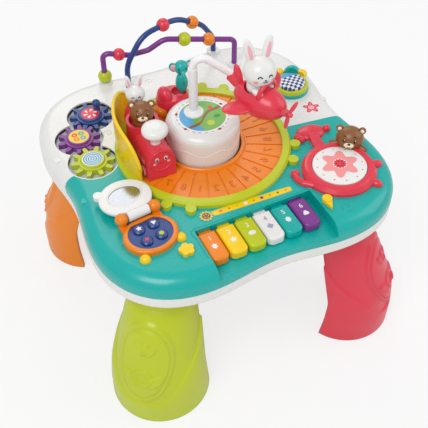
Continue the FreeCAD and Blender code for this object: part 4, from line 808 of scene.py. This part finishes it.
def figure_piece(name, text, height, origin, shade, body, axes=FLAT, thick=0.8):
    """A raised figure from the text tool, its doubles merged.

    Left-handed axes, as the track figures have, mirror the figure and turn its faces inwards.
    """
    curve = bpy.data.curves.new(name + "_text", "FONT")
    curve.body = text
    curve.size = height / 1000
    curve.extrude = thick / 2000
    curve.align_x = "CENTER"
    curve.align_y = "CENTER"
    curve.resolution_u = 3
    holder = bpy.data.objects.new(name + "_text", curve)
    bpy.context.scene.collection.objects.link(holder)
    mesh = bpy.data.meshes.new_from_object(holder)
    bpy.data.objects.remove(holder)
    work = bmesh.new()
    work.from_mesh(mesh)
    bmesh.ops.remove_doubles(work, verts=work.verts, dist=1e-6)
    bmesh.ops.recalc_face_normals(work, faces=work.faces)
    work.to_mesh(mesh)
    work.free()
    mesh.materials.clear()
    points = np.array([vertex.co[:] for vertex in mesh.vertices])
    points = points @ np.asarray(axes).T + np.array(origin) / 1000
    mesh.vertices.foreach_set("co", points.ravel())
    mesh.update()
    return place_piece(name, mesh, plastic(shade, 0.3), body)


TRACK_TOP = 266.0
PLANKS = 26
FIRST_GROOVE = -124.6
FIGURE_REACH = 88
# The figures are moulded in the planks' own orange; their darker orange is painted shade that stands in for
# the shadow of their relief.
for n in range(PLANKS):
    angle = FIRST_GROOVE + (n + 0.5) * 360 / PLANKS
    outward, along = outward_at(angle), outward_at(angle + 90)
    spot = np.array([*RING_MIDDLE, TRACK_TOP]) + FIGURE_REACH * outward
    figure_piece("track_figure_" + str(n + 1), str(n % 9 + 1), 16, spot, "figure_painted_shade", "table",
                 np.stack([-along, -outward, [0, 0, 1]], 1), 1.2)

KEY_TOP = 258.6
KEY_FIRST_X = -72.5
KEY_PITCH = 25.2
KEY_LIFT = 0.1
KEY_FIGURE_Y = -149.5
KEY_MOTIF_Y = -162.5
WHITE_KEY = 4
KEY_MOTIFS = ((4.6, 3.8, 6, 0.16), (4.4, 4.4, 5, 0.22), (3.4, 5.0, 0, 0), (4.4, 4.4, 4, 0.2),
              (4.6, 4.0, 7, 0.14), (4.2, 4.2, 3, 0.16))
for number, (length, width, arms, depth) in enumerate(KEY_MOTIFS, start=1):
    x = KEY_FIRST_X + KEY_PITCH * (number - 1)
    shade = "dash" if number == WHITE_KEY else "white"
    key = "piano_key_" + str(number)
    figure_piece("key_figure_" + str(number), str(number), 10, (x, KEY_FIGURE_Y, KEY_TOP + KEY_LIFT), shade,
                 key, FLAT, 0.5)
    badge("key_motif_" + str(number), (x, KEY_MOTIF_Y, KEY_TOP),
          badge_outline(length, width, 90, arms, depth), shade, key, 0.35)

STRIP_TURN = -1.9
STRIP_Y = -118.3
STRIP_MOTIFS = (("orange", 2.2, 0), ("brown", 1.3, 5), ("lime", 1.9, 3), ("white", 3.0, 6),
                ("brown", 1.2, 4), ("purple", 2.6, 5), ("brown", 1.3, 3), ("leaf_green", 2.0, 4),
                ("orange", 1.6, 5))
badge("melody_strip", (0.5, STRIP_Y, DECK_TOP), badge_outline(56, 4.6, STRIP_TURN, power=0.32), "yellow",
      "table", 0.5)
for n, (shade, half, arms) in enumerate(STRIP_MOTIFS):
    x = -42 + 11.3 * n
    spot = (x, STRIP_Y + x * math.tan(math.radians(STRIP_TURN)), DECK_TOP + 0.45)
    badge("strip_motif_" + str(n + 1), spot, badge_outline(half, half, 15 * n, arms, 0.2), shade, "table",
          0.25)

PHONE_ORIGIN = np.array([-139.6, -87.6, 0])
PHONE_AXES = rotation((0, 0, 1), 6.5)
BUTTON_TOP = 272.1
BUTTON_MARKS = (((-9.9, -20), "white", 3.6, 5, 0.3), ((9.9, -20), "white", 3.4, 3, 0.3),
                ((9.9, -40), "lime", 3.6, 6, 0.18), ((-9.9, -40), "red", 3.2, 4, 0.3))
for number, (place, shade, half, arms, depth) in enumerate(BUTTON_MARKS, start=1):
    spot = PHONE_ORIGIN + PHONE_AXES @ np.array([*place, 0]) + (0, 0, BUTTON_TOP)
    button = "phone_button_" + str(number)
    badge("button_mark_" + str(number), spot, badge_outline(half, half, 18, arms, depth), shade, button,
          0.3)
print("badges made")

# %% [markdown]
# Raised lines are thin round bars half sunk in the face: spirals on the deck, a
# wave round the hill, the piano recess's edge and the guard wall's rounded rim.

# %% Raised lines
def line_piece(name, path, radius, shade, body, columns=10, rough=0.26):
    """A bar along points in millimetres."""
    mesh = tube_mesh(name, np.asarray(path, float) / 1000, radius / 1000, columns)
    return place_piece(name, mesh, plastic(shade, rough), body)


def spiral(centre, reach, turns, start, count=70):
    """Points at reach * s from the centre, turning steadily as s goes from 0.15 to 1."""
    s = np.linspace(0.15, 1, count)
    angle = np.radians(start) + s * turns * 2 * np.pi
    return np.stack([centre[0] + reach * s * np.cos(angle), centre[1] + reach * s * np.sin(angle),
                     np.full(count, DECK_TOP)], -1)


def round_ring(reach, angle, height):
    """Points round the play ring's middle."""
    x, y = RING_MIDDLE
    return np.stack([x + reach * np.cos(angle), y + reach * np.sin(angle), height], -1)


CURLS = (("white", "back_cover", (-115.8, 82.9), 7, 1.4, 40),
         ("white", "back_cover", (76.8, 171.5), 9, 1.3, 0),
         ("white", "back_cover", (-20, 165), 7, 1.2, 120),
         ("white", "back_cover", (150, 105), 7, 1.3, 210),
         ("teal", "front_cover", (-140, -18), 8, 1.4, 60),
         ("teal", "front_cover", (103, -178), 9, 1.3, 200),
         ("teal", "front_cover", (-170, -118), 7, 1.2, 300),
         ("teal", "front_cover", (120, -30), 6, 1.2, 20))
for n, (shade, node, middle, reach, turns, start) in enumerate(CURLS):
    line_piece("curl_" + str(n + 1), spiral(middle, reach, turns, start), 0.75, shade, "table")

sweep = np.linspace(0, 2 * np.pi, 260)
wave = round_ring(HILL_RADIUS, sweep, 287 + 3.2 * np.sin(7 * sweep))
line_piece("hill_wave", wave, 0.45, "white", "carousel", 8)

RECESS_CORNERS = ((-88.5, -178), (-88.5, -150), (-88.3, -131.2), (-60, -130), (0, -130), (60, -130),
                  (78.4, -131.2), (79, -150), (79, -178))
recess = smooth_path([(x, y, DECK_TOP) for x, y in RECESS_CORNERS], 150) * 1000
line_piece("recess_edge", recess, 0.9, "teal", "table")

share = np.linspace(0.012, 0.988, 120)
wall_top = 270 + 61 * np.sqrt(1 - np.abs(2 * share - 1) ** 4) - 1.2
wall_rim = round_ring(118 - 2.2 - 7 * share ** 2, np.radians(124 + 76 * share), wall_top)
line_piece("guard_wall_rim", wall_rim, 2.4, "yellow", "table", 16)

around = np.linspace(0, 2 * np.pi, 90)
mirror_oval = np.stack([22.0 * np.cos(around), 35 + 16.4 * np.sin(around), np.full(90, 276.2)], -1)
mirror_rim = mirror_oval @ PHONE_AXES.T + PHONE_ORIGIN
line_piece("mirror_rim", mirror_rim, 1.3, "white", "phone_lid", 12)
print("raised lines made")

# %% [markdown]
# Turned pieces are a profile of radius and height carried round an axis. The
# chimney's corners are blended first, so the mushroom cap swells as on the toy.

# %% Locomotive details
def turned_piece(name, corners, centre, shade, body, count=70, columns=64):
    """A profile of (radius, height) corners, blended smoothly and carried round a vertical axis."""
    profile = smooth_path([(r, 0, z) for r, z in corners], count) * 1000
    u = np.linspace(0, 2 * np.pi, columns, endpoint=False)
    reach = np.maximum(profile[:, 0], 0.02)[:, None]
    level = profile[:, 2:] + 0 * u
    points = np.stack([centre[0] + reach * np.cos(u), centre[1] + reach * np.sin(u), level], -1)
    return place_piece(name, grid_mesh(name, points / 1000), plastic(shade), body)


CHIMNEY_CORNERS = ((0.5, 311), (6, 311.5), (6.4, 318), (9, 323), (15, 328), (17, 332.5), (15, 337.5),
                   (8, 340), (0.5, 340.4))
chimney = turned_piece("chimney_cap", CHIMNEY_CORNERS, (-84.6, -17.6), "white", "carousel")
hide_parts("chimney")
FRONT = np.stack([[1.0, 0, 0], [0, 0, 1.0], [0, -1.0, 0]], 1)
LEFT = np.stack([[0, -1.0, 0], [0, 0, 1.0], [-1.0, 0, 0]], 1)
face_middle = np.array([-84.6, -34.6, 296.0])


def on_face(across, up, out=0.0):
    """A point on the locomotive's front."""
    return face_middle + FRONT @ np.array([across, up, out])


def loco_badge(name, origin, outline, shade, thick, axes):
    """A badge that rides on the locomotive."""
    return badge(name, origin, outline, shade, "carousel", thick, axes)


def loco_line(name, path, radius, shade, columns=8):
    """A raised line that rides on the locomotive."""
    return line_piece(name, path, radius, shade, "carousel", columns)


loco_line("loco_face_ring", [on_face(15.5 * np.cos(turn), 15.5 * np.sin(turn))
                             for turn in np.linspace(0, 2 * np.pi, 80)], 1.2, "red", 12)
for side in (-1, 1):
    tag = "loco_right_" if side > 0 else "loco_left_"
    loco_badge(tag + "eye", on_face(side * 6, 2.5), badge_outline(2.5, 3.3), "white", 0.5, FRONT)
    loco_badge(tag + "pupil", on_face(side * 6, 2.3, 0.4), badge_outline(1.6, 2.3), "black", 0.35, FRONT)
    loco_badge(tag + "glint", on_face(side * 6 + 0.6, 3.4, 0.7), badge_outline(0.6, 0.7), "white", 0.2, FRONT)
    loco_badge(tag + "cheek", on_face(side * 9.5, -3.6), badge_outline(2.2, 1.5), "pink", 0.4, FRONT)
mouth = [on_face(x, -3.8 + 0.16 * x * x, 0.3) for x in np.linspace(-2.6, 2.6, 15)]
loco_line("loco_mouth", mouth, 0.4, "berry")
for number, y in enumerate((-20.6, 21.4), start=1):
    hub = np.array([-105.1, y, 275.0])
    loco_badge("wheel_cover_" + str(number), hub, badge_outline(6.8, 6.8), "white", 0.6, LEFT)
    for gap in range(5):
        turn = 36 + 72 * gap
        spot = hub + LEFT @ (4.0 * outward_at(turn) + (0, 0, 0.5))
        loco_badge("wheel_" + str(number) + "_gap_" + str(gap + 1), spot, badge_outline(1.5, 1.1, turn),
                   "red", 0.25, LEFT)
for number, height in enumerate((288, 291), start=1):
    loco_line("boiler_line_" + str(number), [(-103.4, y, height) for y in (-24, -10, 4)], 0.5, "pink")
link = np.array([*RING_MIDDLE, 280.0]) + 77 * outward_at(113)
egg_piece("coupling_cover", link, (8.7, 9.7, 7.7), plastic("orange"), "carousel",
          None, 0.8)
print("locomotive details made")

# %% [markdown]
# Floor, light and camera. The camera stands where the photograph was taken.

# %% Stage
CAMERA_PLACE = Vector((-0.33850, -0.70869, 0.95926))
CAMERA_AIM = Vector((-0.00563, -0.02260, 0.150))
FOCAL_MM = 65.28


def stage():
    """A pale floor that shows white to the camera but keeps the shadow."""
    half = 6.0
    mesh = bpy.data.meshes.new("floor")
    corners = [(x * half, y * half, -0.0005) for x, y in ((-1, -1), (1, -1), (1, 1), (-1, 1))]
    mesh.from_pydata(corners, [], [(0, 1, 2, 3)])
    floor = bpy.data.objects.new("floor", mesh)
    bpy.context.scene.collection.objects.link(floor)
    material = bpy.data.materials.new("floor_paper")
    material.use_nodes = True
    tree = material.node_tree
    shader = tree.nodes["Principled BSDF"]
    shader.inputs["Base Color"].default_value = (0.86, 0.86, 0.86, 1)
    shader.inputs["Roughness"].default_value = 0.9
    glow = tree.nodes.new("ShaderNodeEmission")
    glow.inputs["Strength"].default_value = 1.0
    mix = tree.nodes.new("ShaderNodeMixShader")
    path = tree.nodes.new("ShaderNodeLightPath")
    share = tree.nodes.new("ShaderNodeMath")
    share.operation = "MULTIPLY"
    share.inputs[1].default_value = 0.72
    tree.links.new(path.outputs["Is Camera Ray"], share.inputs[0])
    tree.links.new(share.outputs[0], mix.inputs[0])
    tree.links.new(shader.outputs[0], mix.inputs[1])
    tree.links.new(glow.outputs[0], mix.inputs[2])
    tree.links.new(mix.outputs[0], tree.nodes["Material Output"].inputs["Surface"])
    mesh.materials.append(material)


def lamp(name, place, aim, energy, width):
    """A soft square lamp that faces aim."""
    data = bpy.data.lights.new(name, "AREA")
    data.energy = energy
    data.size = width
    light = bpy.data.objects.new(name, data)
    light.location = place
    light.rotation_euler = (Vector(aim) - Vector(place)).to_track_quat("-Z", "Y").to_euler()
    bpy.context.scene.collection.objects.link(light)


stage()
lamp("key_lamp", (-1.0, -0.9, 1.9), (0, 0, 0.25), 19, 1.1)
lamp("fill_lamp", (1.6, -0.6, 1.4), (0, 0, 0.25), 8, 1.4)
lamp("back_lamp", (0.3, 1.6, 1.5), (0, 0, 0.25), 7, 1.2)
world = bpy.data.worlds.new("studio")
world.use_nodes = True
bpy.context.scene.world = world
sky_nodes = world.node_tree
sky = sky_nodes.nodes["Background"]
sky.inputs["Color"].default_value = (1, 1, 1, 1)
sky_path = sky_nodes.nodes.new("ShaderNodeLightPath")
sky_level = sky_nodes.nodes.new("ShaderNodeMapRange")
sky_level.inputs["To Min"].default_value = 0.58
sky_level.inputs["To Max"].default_value = 1.0
sky_nodes.links.new(sky_path.outputs["Is Camera Ray"], sky_level.inputs["Value"])
sky_nodes.links.new(sky_level.outputs["Result"], sky.inputs["Strength"])
bpy.context.scene.view_settings.view_transform = "Standard"
camera_data = bpy.data.cameras.new("camera")
camera_data.lens = FOCAL_MM
camera = bpy.data.objects.new("camera", camera_data)
camera.location = CAMERA_PLACE
camera.rotation_euler = (CAMERA_AIM - CAMERA_PLACE).to_track_quat("-Z", "Y").to_euler()
bpy.context.scene.collection.objects.link(camera)
bpy.context.scene.camera = camera
